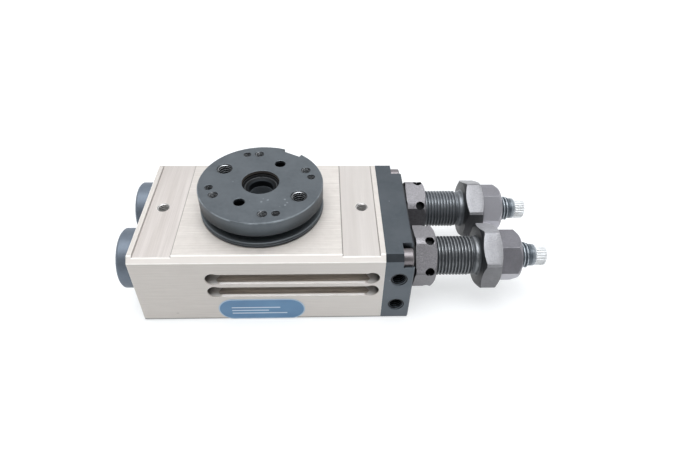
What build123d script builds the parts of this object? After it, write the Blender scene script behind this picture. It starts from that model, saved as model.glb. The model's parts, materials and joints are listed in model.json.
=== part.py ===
"""Rotary pneumatic actuator: twin-rack swivel unit with a hollow turntable.

Frame: origin on the turntable axis at the underside of the housing, +Z up out
of the turntable, +X towards the shock absorbers, -Y the side with the sensor
slots and the air ports. All lengths are millimetres.
"""
from build123d import *
import math
import os

os.makedirs("parts", exist_ok=True)

# ---- housing ---------------------------------------------------------------
HALF_L = 36.0          # housing runs from -HALF_L to +HALF_L
HALF_W = 22.65
HEIGHT = 26.3
TOP_CHAMFER = 1.67
BASE_CHAMFER = 0.5
AXIS_Y = 11.15         # cylinder axes at y = -AXIS_Y (front) and +AXIS_Y (rear)
AXIS_Z = 15.53
BORE_R = 6.0
STRIP_IN, STRIP_OUT, STRIP_DEPTH = 23.8, 34.55, 0.45
BODY_HOLE_X, BODY_HOLE_R = 30.26, 1.65
SLOT_Z = (18.05, 12.65)
SLOT_X = (-13.1, 32.45)
SLOT_R, SLOT_NECK, SLOT_DEPTH = 2.3, 4.0, 4.3
CAP_R, CAP_LEN, CAP_SPIGOT_R, CAP_SPIGOT = 9.0, 5.0, 7.5, 2.5
RECESS_R, RECESS_DEPTH = 10.5, 1.0

# ---- end plate -------------------------------------------------------------
PLATE_T = 8.45
PLATE_X = HALF_L + PLATE_T
SCREW_Y, SCREW_Z_TOP = 19.1, 22.8
LOW_SCREW_Y, LOW_SCREW_Z = 14.5, 3.5   # clear of the lower air port
POCKET_R = 3.05
SCREW_SEAT_X = 41.15
HEAD_R, HEAD_H, SHANK_R = 2.75, 3.0, 1.5
PORT_X, PORT_Z, PORT_R, PORT_CSK_R, PORT_DEPTH = 40.3, (17.3, 6.25), 2.1, 2.55, 4.0

# ---- turntable and shaft ---------------------------------------------------
TABLE_TOP, RIM_LOW, FLANGE_TOP, TABLE_LOW = 35.6, 30.75, 28.2, 26.55
TABLE_R, FLANGE_R, NECK_R = 18.47, 18.53, 15.8
TABLE_TURN = 60.0      # the turntable's own zero stands at +60 deg at rest
SHAFT_BORE_R = 3.5
PINION_Z0, PINION_Z1 = 11.33, 19.73
MODULE, TEETH, PRESSURE = 0.8, 16, math.radians(20)
PITCH_R = MODULE * TEETH / 2
TOOTH_PITCH = math.pi * MODULE
BACKLASH = 0.05
UP_Z0, UP_Z1 = 21.9, 25.9      # 12 x 18 x 4 ball bearing
LO_Z0, LO_Z1 = 5.1, 9.1        # 10 x 15 x 4 ball bearing

# ---- racks -----------------------------------------------------------------
RACK_R, RACK_LEN = 5.95, 45.1
FRONT_RACK_END, REAR_RACK_END = 19.5, 25.6    # right-hand ends at rest
RACK_TIP, RACK_ROOT = 5.68, 7.4               # tooth tip and root, distance from the unit's centre plane

# ---- adjustable stops with shock absorbers ---------------------------------
REAR_SHIFT = -0.6      # the rear stop is screwed in further than the front one
NOSE_X = 33.0
THREAD_X0, THREAD_X1 = 38.0, 63.3
HEX_X0, HEX_X1 = 65.55, 71.3
NUT_X1 = 78.0
TIP_THREAD_X1, TIP_X = 81.45, 83.45
KNOB_X0, KNOB_X1 = 83.5, 87.0
COLLAR_X0, COLLAR_X1, COLLAR_HOLE_X = 45.5, 51.85, 49.7
ROD_TIP = 29.667       # front rod tip at rest


def axial_plane(y0):
    """Plane through a cylinder axis: local x runs along +X, local y along +Z."""
    return Plane(origin=(0, y0, AXIS_Z), x_dir=(1, 0, 0), z_dir=(0, -1, 0))


def axial_axis(y0):
    return Axis((0, y0, AXIS_Z), (1, 0, 0))


def hex_points(across_flats, corner_deg, cy, cz):
    """Corners of a hexagon in the YZ plane; corner_deg is measured from -Y up towards +Z."""
    radius = across_flats / 2 / math.cos(math.radians(30))
    turn = [math.radians(180 - corner_deg + 60 * k) for k in range(6)]
    return [(cy + radius * math.cos(a), cz + radius * math.sin(a)) for a in turn]


def write(piece, name):
    piece.part.label = name
    export_step(piece.part, "parts/" + name + ".step")


# ============================================================================
# Housing
# ============================================================================
section = [
    (-HALF_W, BASE_CHAMFER), (-HALF_W + BASE_CHAMFER, 0), (HALF_W - BASE_CHAMFER, 0),
    (HALF_W, BASE_CHAMFER), (HALF_W, HEIGHT - TOP_CHAMFER), (HALF_W - TOP_CHAMFER, HEIGHT),
    (-HALF_W + TOP_CHAMFER, HEIGHT), (-HALF_W, HEIGHT - TOP_CHAMFER),
]
front_face = Plane(origin=(0, -HALF_W, 0), x_dir=(1, 0, 0), z_dir=(0, -1, 0))
screw_spots = [(-SCREW_Y, SCREW_Z_TOP), (SCREW_Y, SCREW_Z_TOP), (-LOW_SCREW_Y, LOW_SCREW_Z), (LOW_SCREW_Y, LOW_SCREW_Z)]
bore_spots = [(-AXIS_Y, AXIS_Z), (AXIS_Y, AXIS_Z)]

with BuildPart() as housing:
    with BuildSketch(Plane.YZ.offset(-HALF_L)):
        with BuildLine():
            Polyline(*section, close=True)
        make_face()
    extrude(amount=2 * HALF_L)
    chamfer(housing.faces().sort_by(Axis.X)[0].outer_wire().edges(), length=0.25)
    # machined strips across the top at both ends
    with BuildSketch(Plane.XY.offset(HEIGHT - STRIP_DEPTH)):
        with Locations(((STRIP_IN + STRIP_OUT) / 2, 0), (-(STRIP_IN + STRIP_OUT) / 2, 0)):
            Rectangle(STRIP_OUT - STRIP_IN, 2 * HALF_W + 2)
    extrude(amount=2, mode=Mode.SUBTRACT)
    # cylinder bores, with a wider threaded mouth for each cap at the left end
    with BuildSketch(Plane.YZ.offset(-HALF_L)):
        with Locations(*bore_spots):
            Circle(BORE_R)
    extrude(amount=2 * HALF_L, mode=Mode.SUBTRACT)
    with BuildSketch(Plane.YZ.offset(-HALF_L)):
        with Locations(*bore_spots):
            Circle(CAP_SPIGOT_R)
    extrude(amount=CAP_SPIGOT, mode=Mode.SUBTRACT)
    for y0 in (-AXIS_Y, AXIS_Y):
        with BuildSketch(axial_plane(y0)):
            with BuildLine():
                Polyline((-HALF_L, 0), (-HALF_L, 8.5), (-HALF_L + 1.0, 7.5), (-HALF_L + 1.0, 0), close=True)
            make_face()
        revolve(axis=axial_axis(y0), mode=Mode.SUBTRACT)
    # pinion chamber, bearing seats, retainer seat and underside recess, all on the turntable axis
    with BuildSketch(Plane.XZ):
        with BuildLine():
            Polyline(
                (0, -1), (RECESS_R, -1), (RECESS_R, RECESS_DEPTH), (7.5, RECESS_DEPTH), (7.5, 1.4),
                (7.9, 1.4), (7.9, 2.2), (7.5, 2.2), (7.5, LO_Z1), (6.8, LO_Z1), (6.8, 11.2), (7.6, 11.2),
                (7.6, UP_Z0), (9.0, UP_Z0), (9.0, UP_Z1), (11.25, UP_Z1), (11.25, HEIGHT + 1), (0, HEIGHT + 1),
                close=True,
            )
        make_face()
    revolve(axis=Axis.Z, mode=Mode.SUBTRACT)
    # tapped holes for the bearing retainer screws
    with BuildSketch(Plane.XY.offset(22.9)):
        with PolarLocations(10.1, 4, start_angle=45):
            Circle(0.95)
    extrude(amount=4, mode=Mode.SUBTRACT)
    # two through holes for mounting the unit
    with BuildSketch(Plane.XY.offset(-1)):
        with Locations((BODY_HOLE_X, 0), (-BODY_HOLE_X, 0)):
            Circle(BODY_HOLE_R)
    extrude(amount=HEIGHT + 2, mode=Mode.SUBTRACT)
    for hx in (BODY_HOLE_X, -BODY_HOLE_X):
        with BuildSketch(Plane(origin=(hx, 0, 0), x_dir=(1, 0, 0), z_dir=(0, -1, 0))):
            with BuildLine():
                Polyline((0, HEIGHT), (0, HEIGHT - STRIP_DEPTH - 0.35), (BODY_HOLE_R, HEIGHT - STRIP_DEPTH - 0.35),
                         (BODY_HOLE_R + 0.35, HEIGHT - STRIP_DEPTH), (BODY_HOLE_R + 0.35, HEIGHT), close=True)
            make_face()
        revolve(axis=Axis((hx, 0, 0), (0, 0, 1)), mode=Mode.SUBTRACT)
    # tapped holes for the end plate screws
    with BuildSketch(Plane.YZ.offset(HALF_L)):
        with Locations(*screw_spots):
            Circle(SHANK_R)
    extrude(amount=-9.5, mode=Mode.SUBTRACT)
    # two sensor slots: a round channel behind a narrower mouth, with a round pocket at each end
    for sz in SLOT_Z:
        with BuildSketch(front_face):
            with Locations(((SLOT_X[0] + SLOT_X[1]) / 2, sz)):
                Rectangle(SLOT_X[1] - SLOT_X[0], SLOT_NECK)
        extrude(amount=-(SLOT_DEPTH - SLOT_R), mode=Mode.SUBTRACT)
        with BuildSketch(Plane.YZ.offset(SLOT_X[0])):
            with Locations((-HALF_W + SLOT_DEPTH - SLOT_R, sz)):
                Circle(SLOT_R)
        extrude(amount=SLOT_X[1] - SLOT_X[0], mode=Mode.SUBTRACT)
        with BuildSketch(front_face):
            with Locations((SLOT_X[0], sz), (SLOT_X[1], sz)):
                Circle(SLOT_R)
        extrude(amount=-SLOT_DEPTH, mode=Mode.SUBTRACT)
write(housing, "housing")

# ============================================================================
# Cylinder caps at the left end, with a face seal under each flange
# ============================================================================
def make_cap(y0, name):
    x0 = -HALF_L - CAP_LEN
    with BuildPart() as cap:
        with BuildSketch(axial_plane(y0)):
            with BuildLine():
                Polyline((x0, 0), (x0, CAP_R - 0.6), (x0 + 0.6, CAP_R), (-HALF_L, CAP_R),
                         (-HALF_L, CAP_SPIGOT_R), (-HALF_L + CAP_SPIGOT, CAP_SPIGOT_R), (-HALF_L + CAP_SPIGOT, 0), close=True)
            make_face()
        revolve(axis=axial_axis(y0))
        # hexagon socket that screws the cap in
        with BuildSketch(Plane.YZ.offset(x0)):
            with BuildLine():
                Polyline(*hex_points(8.0, 30, y0, AXIS_Z), close=True)
            make_face()
        extrude(amount=4.5, mode=Mode.SUBTRACT)
    write(cap, name)


make_cap(-AXIS_Y, "front_cylinder_cap")
make_cap(AXIS_Y, "rear_cylinder_cap")

with BuildPart() as cap_seals:
    for y0 in (-AXIS_Y, AXIS_Y):
        with BuildSketch(axial_plane(y0)):
            with Locations((-HALF_L + 0.293, 7.793)):
                Circle(0.28)
        revolve(axis=axial_axis(y0))
write(cap_seals, "cap_seals")

# ============================================================================
# End plate with air ports, stop threads and screw pockets
# ============================================================================
with BuildPart() as end_plate:
    with BuildSketch(Plane.YZ.offset(HALF_L)):
        with BuildLine():
            Polyline(*section, close=True)
        make_face()
    extrude(amount=PLATE_T)
    chamfer(end_plate.faces().sort_by(Axis.X)[-1].outer_wire().edges(), length=0.35)
    for y0 in (-AXIS_Y, AXIS_Y):
        # air annulus, stop thread and seal groove, turned from the joint face
        with BuildSketch(axial_plane(y0)):
            with BuildLine():
                Polyline((HALF_L, 0), (HALF_L, 6.5), (39.5, 6.5), (39.5, 6.04), (PLATE_X, 6.04), (PLATE_X, 0), close=True)
            make_face()
            with BuildLine():
                Polyline((HALF_L, 7.0), (HALF_L + 0.75, 7.0), (HALF_L + 0.75, 8.2), (HALF_L, 8.2), close=True)
            make_face()
        revolve(axis=axial_axis(y0), mode=Mode.SUBTRACT)
    # screw clearance holes and head pockets
    with BuildSketch(Plane.YZ.offset(HALF_L)):
        with Locations(*screw_spots):
            Circle(1.7)
    extrude(amount=PLATE_T, mode=Mode.SUBTRACT)
    with BuildSketch(Plane.YZ.offset(SCREW_SEAT_X)):
        with Locations(*screw_spots):
            Circle(POCKET_R)
    extrude(amount=5, mode=Mode.SUBTRACT)
    # the two upper pockets are milled open to the corner
    with BuildSketch(Plane.YZ.offset(SCREW_SEAT_X)):
        with Locations((-SCREW_Y - 1.4, SCREW_Z_TOP + 2.4), (SCREW_Y + 1.4, SCREW_Z_TOP + 2.4)):
            Rectangle(8.0, 6.0)
    extrude(amount=5, mode=Mode.SUBTRACT)
    # air ports: tapped holes with a countersunk mouth
    for pz in PORT_Z:
        with BuildSketch(Plane(origin=(PORT_X, 0, pz), x_dir=(1, 0, 0), z_dir=(0, 0, 1))):
            with BuildLine():
                Polyline((0, -HALF_W - 1), (0, -HALF_W + PORT_DEPTH), (PORT_R, -HALF_W + PORT_DEPTH),
                         (PORT_R, -HALF_W + 0.45), (PORT_CSK_R, -HALF_W), (PORT_CSK_R, -HALF_W - 1), close=True)
            make_face()
        revolve(axis=Axis((PORT_X, 0, pz), (0, 1, 0)), mode=Mode.SUBTRACT)
    # drillings from the ports to the two air annuli
    with BuildSketch(Plane(origin=(38.9, -HALF_W + PORT_DEPTH - 0.2, 0), x_dir=(1, 0, 0), z_dir=(0, -1, 0))):
        with Locations((0, PORT_Z[0])):
            Circle(0.6)
    extrude(amount=-2.2, mode=Mode.SUBTRACT)
    with BuildSketch(Plane(origin=(38.9, -HALF_W + PORT_DEPTH - 0.2, 0), x_dir=(1, 0, 0), z_dir=(0, -1, 0))):
        with Locations((0, PORT_Z[1])):
            Circle(0.6)
    extrude(amount=-(HALF_W - PORT_DEPTH + 0.2 + AXIS_Y), mode=Mode.SUBTRACT)
    with BuildSketch(Plane.XY.offset(PORT_Z[1])):
        with Locations((38.9, AXIS_Y)):
            Circle(0.6)
    extrude(amount=3.5, mode=Mode.SUBTRACT)
write(end_plate, "end_plate")

with BuildPart() as end_plate_seals:
    for y0 in (-AXIS_Y, AXIS_Y):
        with BuildSketch(axial_plane(y0)):
            with Locations((HALF_L + 0.375, 7.6)):
                Circle(0.365)
        revolve(axis=axial_axis(y0))
write(end_plate_seals, "end_plate_seals")

with BuildPart() as end_plate_screws:
    with BuildSketch(Plane.YZ.offset(SCREW_SEAT_X)):
        with Locations(*screw_spots):
            Circle(HEAD_R)
    extrude(amount=HEAD_H)
    chamfer(end_plate_screws.faces().sort_by(Axis.X)[-4:].edges(), length=0.3)
    with BuildSketch(Plane.YZ.offset(SCREW_SEAT_X)):
        with Locations(*screw_spots):
            Circle(SHANK_R)
    extrude(amount=-13.5)
    with BuildSketch(Plane.YZ.offset(SCREW_SEAT_X + HEAD_H)):
        for sy, sz in screw_spots:
            with BuildLine():
                Polyline(*hex_points(2.5, 10, sy, sz), close=True)
            make_face()
    extrude(amount=-1.6, mode=Mode.SUBTRACT)
write(end_plate_screws, "end_plate_screws")

# ============================================================================
# Name label: a plain stadium-shaped plate on the front face
# ============================================================================
with BuildPart() as name_label:
    with BuildSketch(front_face):
        with Locations((-0.1, 4.85)):
            SlotOverall(25.9, 9.05)
    extrude(amount=0.12)
write(name_label, "name_label")

# ============================================================================
# Turntable
# ============================================================================
def table_spots(radius, angles):
    return [(radius * math.cos(math.radians(TABLE_TURN + a)), radius * math.sin(math.radians(TABLE_TURN + a))) for a in angles]


table_holes = [  # positions, radius, depth, width of the chamfered mouth
    (table_spots(10.6, (0, 180)), 1.6, 6.0, 0.15),
    (table_spots(13.2, (90, -90)), 2.1, 7.0, 0.4),
    (table_spots(14.4, (36, -36, 144, -144)), 1.25, 4.2, 0.25),
    (table_spots(15.05, (50.5, -50.5, 129.5, -129.5)), 1.15, 4.2, 0.1),
]

with BuildPart() as turntable:
    with BuildSketch(Plane.XZ):
        with BuildLine():
            Polyline(
                (3.6, 31.2), (5.5, 31.2), (5.5, 25.92), (6.85, 25.92), (6.85, 27.2), (11.6, 27.2), (11.6, TABLE_LOW),
                (FLANGE_R - 0.2, TABLE_LOW), (FLANGE_R, TABLE_LOW + 0.2), (FLANGE_R, 27.35), (FLANGE_R - 0.25, 27.55),
                (FLANGE_R, 27.75), (FLANGE_R, FLANGE_TOP - 0.25),
                (FLANGE_R - 0.25, FLANGE_TOP), (NECK_R, FLANGE_TOP), (NECK_R, RIM_LOW), (TABLE_R - 0.25, RIM_LOW),
                (TABLE_R, RIM_LOW + 0.25), (TABLE_R, TABLE_TOP - 0.3), (TABLE_R - 0.3, TABLE_TOP),
                (5.6, TABLE_TOP), (5.5, TABLE_TOP - 0.1), (5.5, 33.8), (4.7, 33.8), (3.6, 33.2),
                close=True,
            )
        make_face()
    revolve(axis=Axis.Z)
    for spots, hole_r, depth, edge in table_holes:
        with BuildSketch(Plane.XY.offset(TABLE_TOP)):
            with Locations(*spots):
                Circle(hole_r)
        extrude(amount=-depth, mode=Mode.SUBTRACT)
        for hx, hy in spots:
            with BuildSketch(Plane(origin=(hx, hy, TABLE_TOP), x_dir=(1, 0, 0), z_dir=(0, -1, 0))):
                with BuildLine():
                    Polyline((0, 0.5), (0, -edge), (hole_r, -edge), (hole_r + edge, 0), (hole_r + edge, 0.5), close=True)
                make_face()
            revolve(axis=Axis((hx, hy, 0), (0, 0, 1)), mode=Mode.SUBTRACT)
    # index notch in the rim
    notch = [(16.75, -3.1), (20, -3.1), (20, 3.1), (16.75, 3.1)]
    turn = math.radians(TABLE_TURN)
    with BuildSketch(Plane.XY.offset(RIM_LOW)):
        with BuildLine():
            Polyline(*[(u * math.cos(turn) - v * math.sin(turn), u * math.sin(turn) + v * math.cos(turn)) for u, v in notch], close=True)
        make_face()
    extrude(amount=10, mode=Mode.SUBTRACT)
    # half of the axial pin hole that locks the turntable to the shaft
    with BuildSketch(Plane.XY.offset(27.0)):
        with Locations((5.5, 0)):
            Circle(0.75)
    extrude(amount=4.2, mode=Mode.SUBTRACT)
write(turntable, "turntable")

# ============================================================================
# Hollow pinion shaft
# ============================================================================
def involute_pinion():
    base_r = PITCH_R * math.cos(PRESSURE)
    tip_r, root_r = PITCH_R + MODULE, PITCH_R - 1.25 * MODULE
    inv = math.tan(PRESSURE) - PRESSURE
    half_pitch = (TOOTH_PITCH / 2 - BACKLASH) / (2 * PITCH_R)
    flank = []
    for i in range(6):
        r = base_r + (tip_r - base_r) * i / 5
        a = math.acos(min(1.0, base_r / r))
        flank.append((r, half_pitch + inv - (math.tan(a) - a)))
    pts = []
    for k in range(TEETH):
        mid = -math.pi / 2 + 2 * math.pi * k / TEETH
        pts.append((root_r, mid - flank[0][1]))
        pts.extend((r, mid - h) for r, h in flank)
        pts.extend((r, mid + h) for r, h in reversed(flank))
        pts.append((root_r, mid + flank[0][1]))
    return [(r * math.cos(a), r * math.sin(a)) for r, a in pts]


with BuildPart() as pinion_shaft:
    with BuildSketch(Plane.XZ):
        with BuildLine():
            Polyline(
                (SHAFT_BORE_R, 3.5), (4.7, 3.5), (5.0, 3.8), (5.0, 4.08), (4.8, 4.08), (4.8, LO_Z0), (5.0, LO_Z0),
                (5.0, LO_Z1), (5.7, LO_Z1), (5.7, PINION_Z0), (5.35, PINION_Z0), (5.35, PINION_Z1), (6.4, PINION_Z1 + 0.3),
                (6.4, 21.0), (6.9, 21.0), (6.9, UP_Z0), (6.0, UP_Z0), (6.0, UP_Z1), (5.5, UP_Z1), (5.5, 30.9),
                (5.2, 31.2), (SHAFT_BORE_R, 31.2),
                close=True,
            )
        make_face()
    revolve(axis=Axis.Z)
    with BuildSketch(Plane.XY.offset(PINION_Z0)):
        with BuildLine():
            Polyline(*involute_pinion(), close=True)
        make_face()
        Circle(SHAFT_BORE_R, mode=Mode.SUBTRACT)
    extrude(amount=PINION_Z1 - PINION_Z0)
    with BuildSketch(Plane.XY.offset(27.0)):
        with Locations((5.5, 0)):
            Circle(0.75)
    extrude(amount=4.5, mode=Mode.SUBTRACT)
write(pinion_shaft, "pinion_shaft")

with BuildPart() as table_pin:
    with BuildSketch(Plane.XY.offset(27.0)):
        with Locations((5.5, 0)):
            Circle(0.75)
    extrude(amount=4.2)
    chamfer(table_pin.edges().filter_by(GeomType.CIRCLE), length=0.15)
write(table_pin, "table_pin")


# ============================================================================
# Ball bearings
# ============================================================================
def make_bearing(prefix, z0, z1, r_in, r_inner_out, r_outer_in, r_out, ball_r, count):
    mid_r = (r_inner_out + r_outer_in) / 2
    mid_z = (z0 + z1) / 2
    with BuildPart() as inner_ring:
        with BuildSketch(Plane.XZ):
            with Locations(((r_in + r_inner_out) / 2, mid_z)):
                Rectangle(r_inner_out - r_in, z1 - z0)
            with Locations((mid_r, mid_z)):
                Circle(ball_r + 0.03, mode=Mode.SUBTRACT)
        revolve(axis=Axis.Z)
    write(inner_ring, prefix + "_bearing_inner_ring")
    with BuildPart() as outer_ring:
        with BuildSketch(Plane.XZ):
            with Locations(((r_outer_in + r_out) / 2, mid_z)):
                Rectangle(r_out - r_outer_in, z1 - z0)
            with Locations((mid_r, mid_z)):
                Circle(ball_r + 0.03, mode=Mode.SUBTRACT)
        revolve(axis=Axis.Z)
    write(outer_ring, prefix + "_bearing_outer_ring")
    with BuildPart() as balls:
        with Locations((0, 0, mid_z)):
            with PolarLocations(mid_r, count):
                Sphere(ball_r)
    write(balls, prefix + "_bearing_balls")


make_bearing("upper", UP_Z0, UP_Z1, 6.0, 6.95, 8.05, 9.0, 0.9, 18)
make_bearing("lower", LO_Z0, LO_Z1, 5.0, 5.75, 6.75, 7.5, 0.79, 16)

# Ring that holds the upper bearing's outer race down, and its countersunk screws
with BuildPart() as bearing_retainer:
    with BuildSketch(Plane.XY.offset(UP_Z1)):
        Circle(11.2)
        Circle(7.6, mode=Mode.SUBTRACT)
    extrude(amount=1.0)
    chamfer(bearing_retainer.faces().sort_by(Axis.Z)[-1].outer_wire().edges(), length=0.2)
    for a in (45, 135, 225, 315):
        cx, cy = 10.1 * math.cos(math.radians(a)), 10.1 * math.sin(math.radians(a))
        with BuildSketch(Plane(origin=(cx, cy, 0), x_dir=(1, 0, 0), z_dir=(0, -1, 0))):
            with BuildLine():
                Polyline((0, UP_Z1 - 0.5), (0.98, UP_Z1 - 0.5), (0.98, UP_Z1 + 0.35), (1.63, UP_Z1 + 1.0), (0, UP_Z1 + 1.0), close=True)
            make_face()
        revolve(axis=Axis((cx, cy, 0), (0, 0, 1)), mode=Mode.SUBTRACT)
write(bearing_retainer, "bearing_retainer")

with BuildPart() as retainer_screws:
    for a in (45, 135, 225, 315):
        cx, cy = 10.1 * math.cos(math.radians(a)), 10.1 * math.sin(math.radians(a))
        with BuildSketch(Plane(origin=(cx, cy, 0), x_dir=(1, 0, 0), z_dir=(0, -1, 0))):
            with BuildLine():
                Polyline((0, 23.1), (0.9, 23.1), (0.9, UP_Z1 + 0.35), (1.5, UP_Z1 + 0.95), (0, UP_Z1 + 0.95), close=True)
            make_face()
        revolve(axis=Axis((cx, cy, 0), (0, 0, 1)))
        with BuildSketch(Plane.XY.offset(UP_Z1 + 0.95)):
            with Locations((cx, cy)):
                Rectangle(1.6, 0.35)
                Rectangle(0.35, 1.6)
        extrude(amount=-0.5, mode=Mode.SUBTRACT)
write(retainer_screws, "retainer_screws")

# Underside cover with a lip that holds the lower bearing's outer race, and the two circlips
with BuildPart() as bottom_cover:
    with BuildSketch(Plane.XZ):
        with BuildLine():
            Polyline((3.6, 2.2), (7.45, 2.2), (7.45, LO_Z0), (6.8, LO_Z0), (6.8, 3.2), (3.6, 3.2), close=True)
        make_face()
    revolve(axis=Axis.Z)
write(bottom_cover, "bottom_cover")


with BuildPart() as shaft_circlip:
    with BuildSketch(Plane.XY.offset(4.1)):
        Circle(5.7)
        Circle(4.8, mode=Mode.SUBTRACT)
        with BuildLine():
            Polyline((0, 0), (14, 8), (14, -8), close=True)
        make_face(mode=Mode.SUBTRACT)
    extrude(amount=0.98)
write(shaft_circlip, "shaft_circlip")

with BuildPart() as cover_circlip:
    with BuildSketch(Plane.XY.offset(1.42)):
        Circle(7.88)
        Circle(6.7, mode=Mode.SUBTRACT)
        with BuildLine():
            Polyline((0, 0), (14, 5), (14, -5), close=True)
        make_face(mode=Mode.SUBTRACT)
        with PolarLocations(7.15, 2, start_angle=-28, angular_range=56, endpoint=True):
            Circle(0.9)
            Circle(0.4, mode=Mode.SUBTRACT)
        Circle(7.88, mode=Mode.INTERSECT)
    extrude(amount=0.76)
write(cover_circlip, "cover_circlip")


# ============================================================================
# Rack pistons
# ============================================================================
def make_rack(side, y_sign, end_x, space_range, flat_x):
    """Round piston with rack teeth on the side that faces the pinion."""
    y0 = y_sign * AXIS_Y
    start_x = end_x - RACK_LEN
    seal_x = (start_x + 1.3, end_x - 2.9)       # left edge of each seal groove
    guide_x = (start_x + 3.6, end_x - 5.6)      # left edge of each guide ring groove
    cuts = sorted([(x, 1.6, 4.9) for x in seal_x] + [(x, 2.0, 5.4) for x in guide_x])
    outline = [(start_x, 0), (start_x, RACK_R - 0.4), (start_x + 0.4, RACK_R)]
    for x, width, r in cuts:
        outline += [(x, RACK_R), (x, r), (x + width, r), (x + width, RACK_R)]
    outline += [(end_x - 0.4, RACK_R), (end_x, RACK_R - 0.4), (end_x, 0)]
    with BuildPart() as rack:
        with BuildSketch(axial_plane(y0)):
            with BuildLine():
                Polyline(*outline, close=True)
            make_face()
        revolve(axis=axial_axis(y0))
        # flat along the tooth tips
        with BuildSketch(Plane.XY.offset(AXIS_Z - 8)):
            with Locations(((flat_x[0] + flat_x[1]) / 2, y_sign * RACK_TIP / 2)):
                Rectangle(flat_x[1] - flat_x[0], RACK_TIP)
        extrude(amount=16, mode=Mode.SUBTRACT)
        # tooth spaces; one is centred on the pinion at rest
        half_pitch_line = TOOTH_PITCH / 4 + BACKLASH / 2
        top = half_pitch_line + (PITCH_R - RACK_TIP + 0.3) * math.tan(PRESSURE)
        low = half_pitch_line - (RACK_ROOT - PITCH_R) * math.tan(PRESSURE)
        with BuildSketch(Plane.XY.offset(AXIS_Z - 8)):
            for k in range(space_range[0], space_range[1] + 1):
                c = k * TOOTH_PITCH
                with BuildLine():
                    Polyline((c - top, y_sign * (RACK_TIP - 0.3)), (c + top, y_sign * (RACK_TIP - 0.3)),
                             (c + low, y_sign * RACK_ROOT), (c - low, y_sign * RACK_ROOT), close=True)
                make_face()
        extrude(amount=16, mode=Mode.SUBTRACT)
        if side == "front":
            # pocket for the sensor magnet on the side facing the slots
            with BuildSketch(Plane(origin=(end_x - 9.5, y0 - RACK_R - 1, AXIS_Z), x_dir=(1, 0, 0), z_dir=(0, -1, 0))):
                Circle(2.0)
            extrude(amount=-4.0, mode=Mode.SUBTRACT)
    write(rack, side + "_rack_piston")
    with BuildPart() as seals:
        for x in seal_x:
            with BuildSketch(axial_plane(y0)):
                with BuildLine():
                    Polyline((x + 0.05, 4.92), (x + 1.55, 4.92), (x + 1.55, 5.7), (x + 1.2, 5.98), (x + 0.4, 5.98), (x + 0.05, 5.7), close=True)
                make_face()
            revolve(axis=axial_axis(y0))
    write(seals, side + "_piston_seals")
    with BuildPart() as guides:
        for x in guide_x:
            with BuildSketch(axial_plane(y0)):
                with Locations((x + 1.0, 5.695)):
                    Rectangle(1.9, 0.57)
            revolve(axis=axial_axis(y0))
    write(guides, side + "_guide_rings")


make_rack("front", -1, FRONT_RACK_END, (-7, 4), (-18.6, 11.8))
make_rack("rear", 1, REAR_RACK_END, (-4, 7), (-11.8, 18.6))

with BuildPart() as position_magnet:
    with BuildSketch(Plane(origin=(FRONT_RACK_END - 9.5, -AXIS_Y - 5.6, AXIS_Z), x_dir=(1, 0, 0), z_dir=(0, -1, 0))):
        Circle(1.97)
    extrude(amount=-2.6)
write(position_magnet, "position_magnet")


# ============================================================================
# Adjustable stops: threaded sleeve, lock nut, seal washer and shock absorber
# ============================================================================
def thread_outline(x0, x1, r, depth, pitch=1.0):
    """Ridges and grooves of a thread, as an outline from x0 to x1."""
    pts = []
    n = int((x1 - x0) / pitch)
    x = x0
    for _ in range(n):
        pts += [(x, r - depth), (x + 0.40 * pitch, r), (x + 0.56 * pitch, r), (x + 0.96 * pitch, r - depth)]
        x += pitch
    return pts


def hex_block(cy, across, corner_deg, x0, x1, r_end_left, r_end_right, r_max, slope_left, slope_right):
    """Hexagon bar between x0 and x1 with turned chamfers at both ends."""
    with BuildPart() as block:
        with BuildSketch(Plane.YZ.offset(x0)):
            with BuildLine():
                Polyline(*hex_points(across, corner_deg, cy, AXIS_Z), close=True)
            make_face()
        extrude(amount=x1 - x0)
        with BuildSketch(axial_plane(cy)):
            with BuildLine():
                Polyline((x0, 0), (x0, r_end_left), (x0 + (r_max - r_end_left) * slope_left, r_max),
                         (x1 - (r_max - r_end_right) * slope_right, r_max), (x1, r_end_right), (x1, 0), close=True)
            make_face()
        revolve(axis=axial_axis(cy), mode=Mode.INTERSECT)
    return block.part


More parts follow.
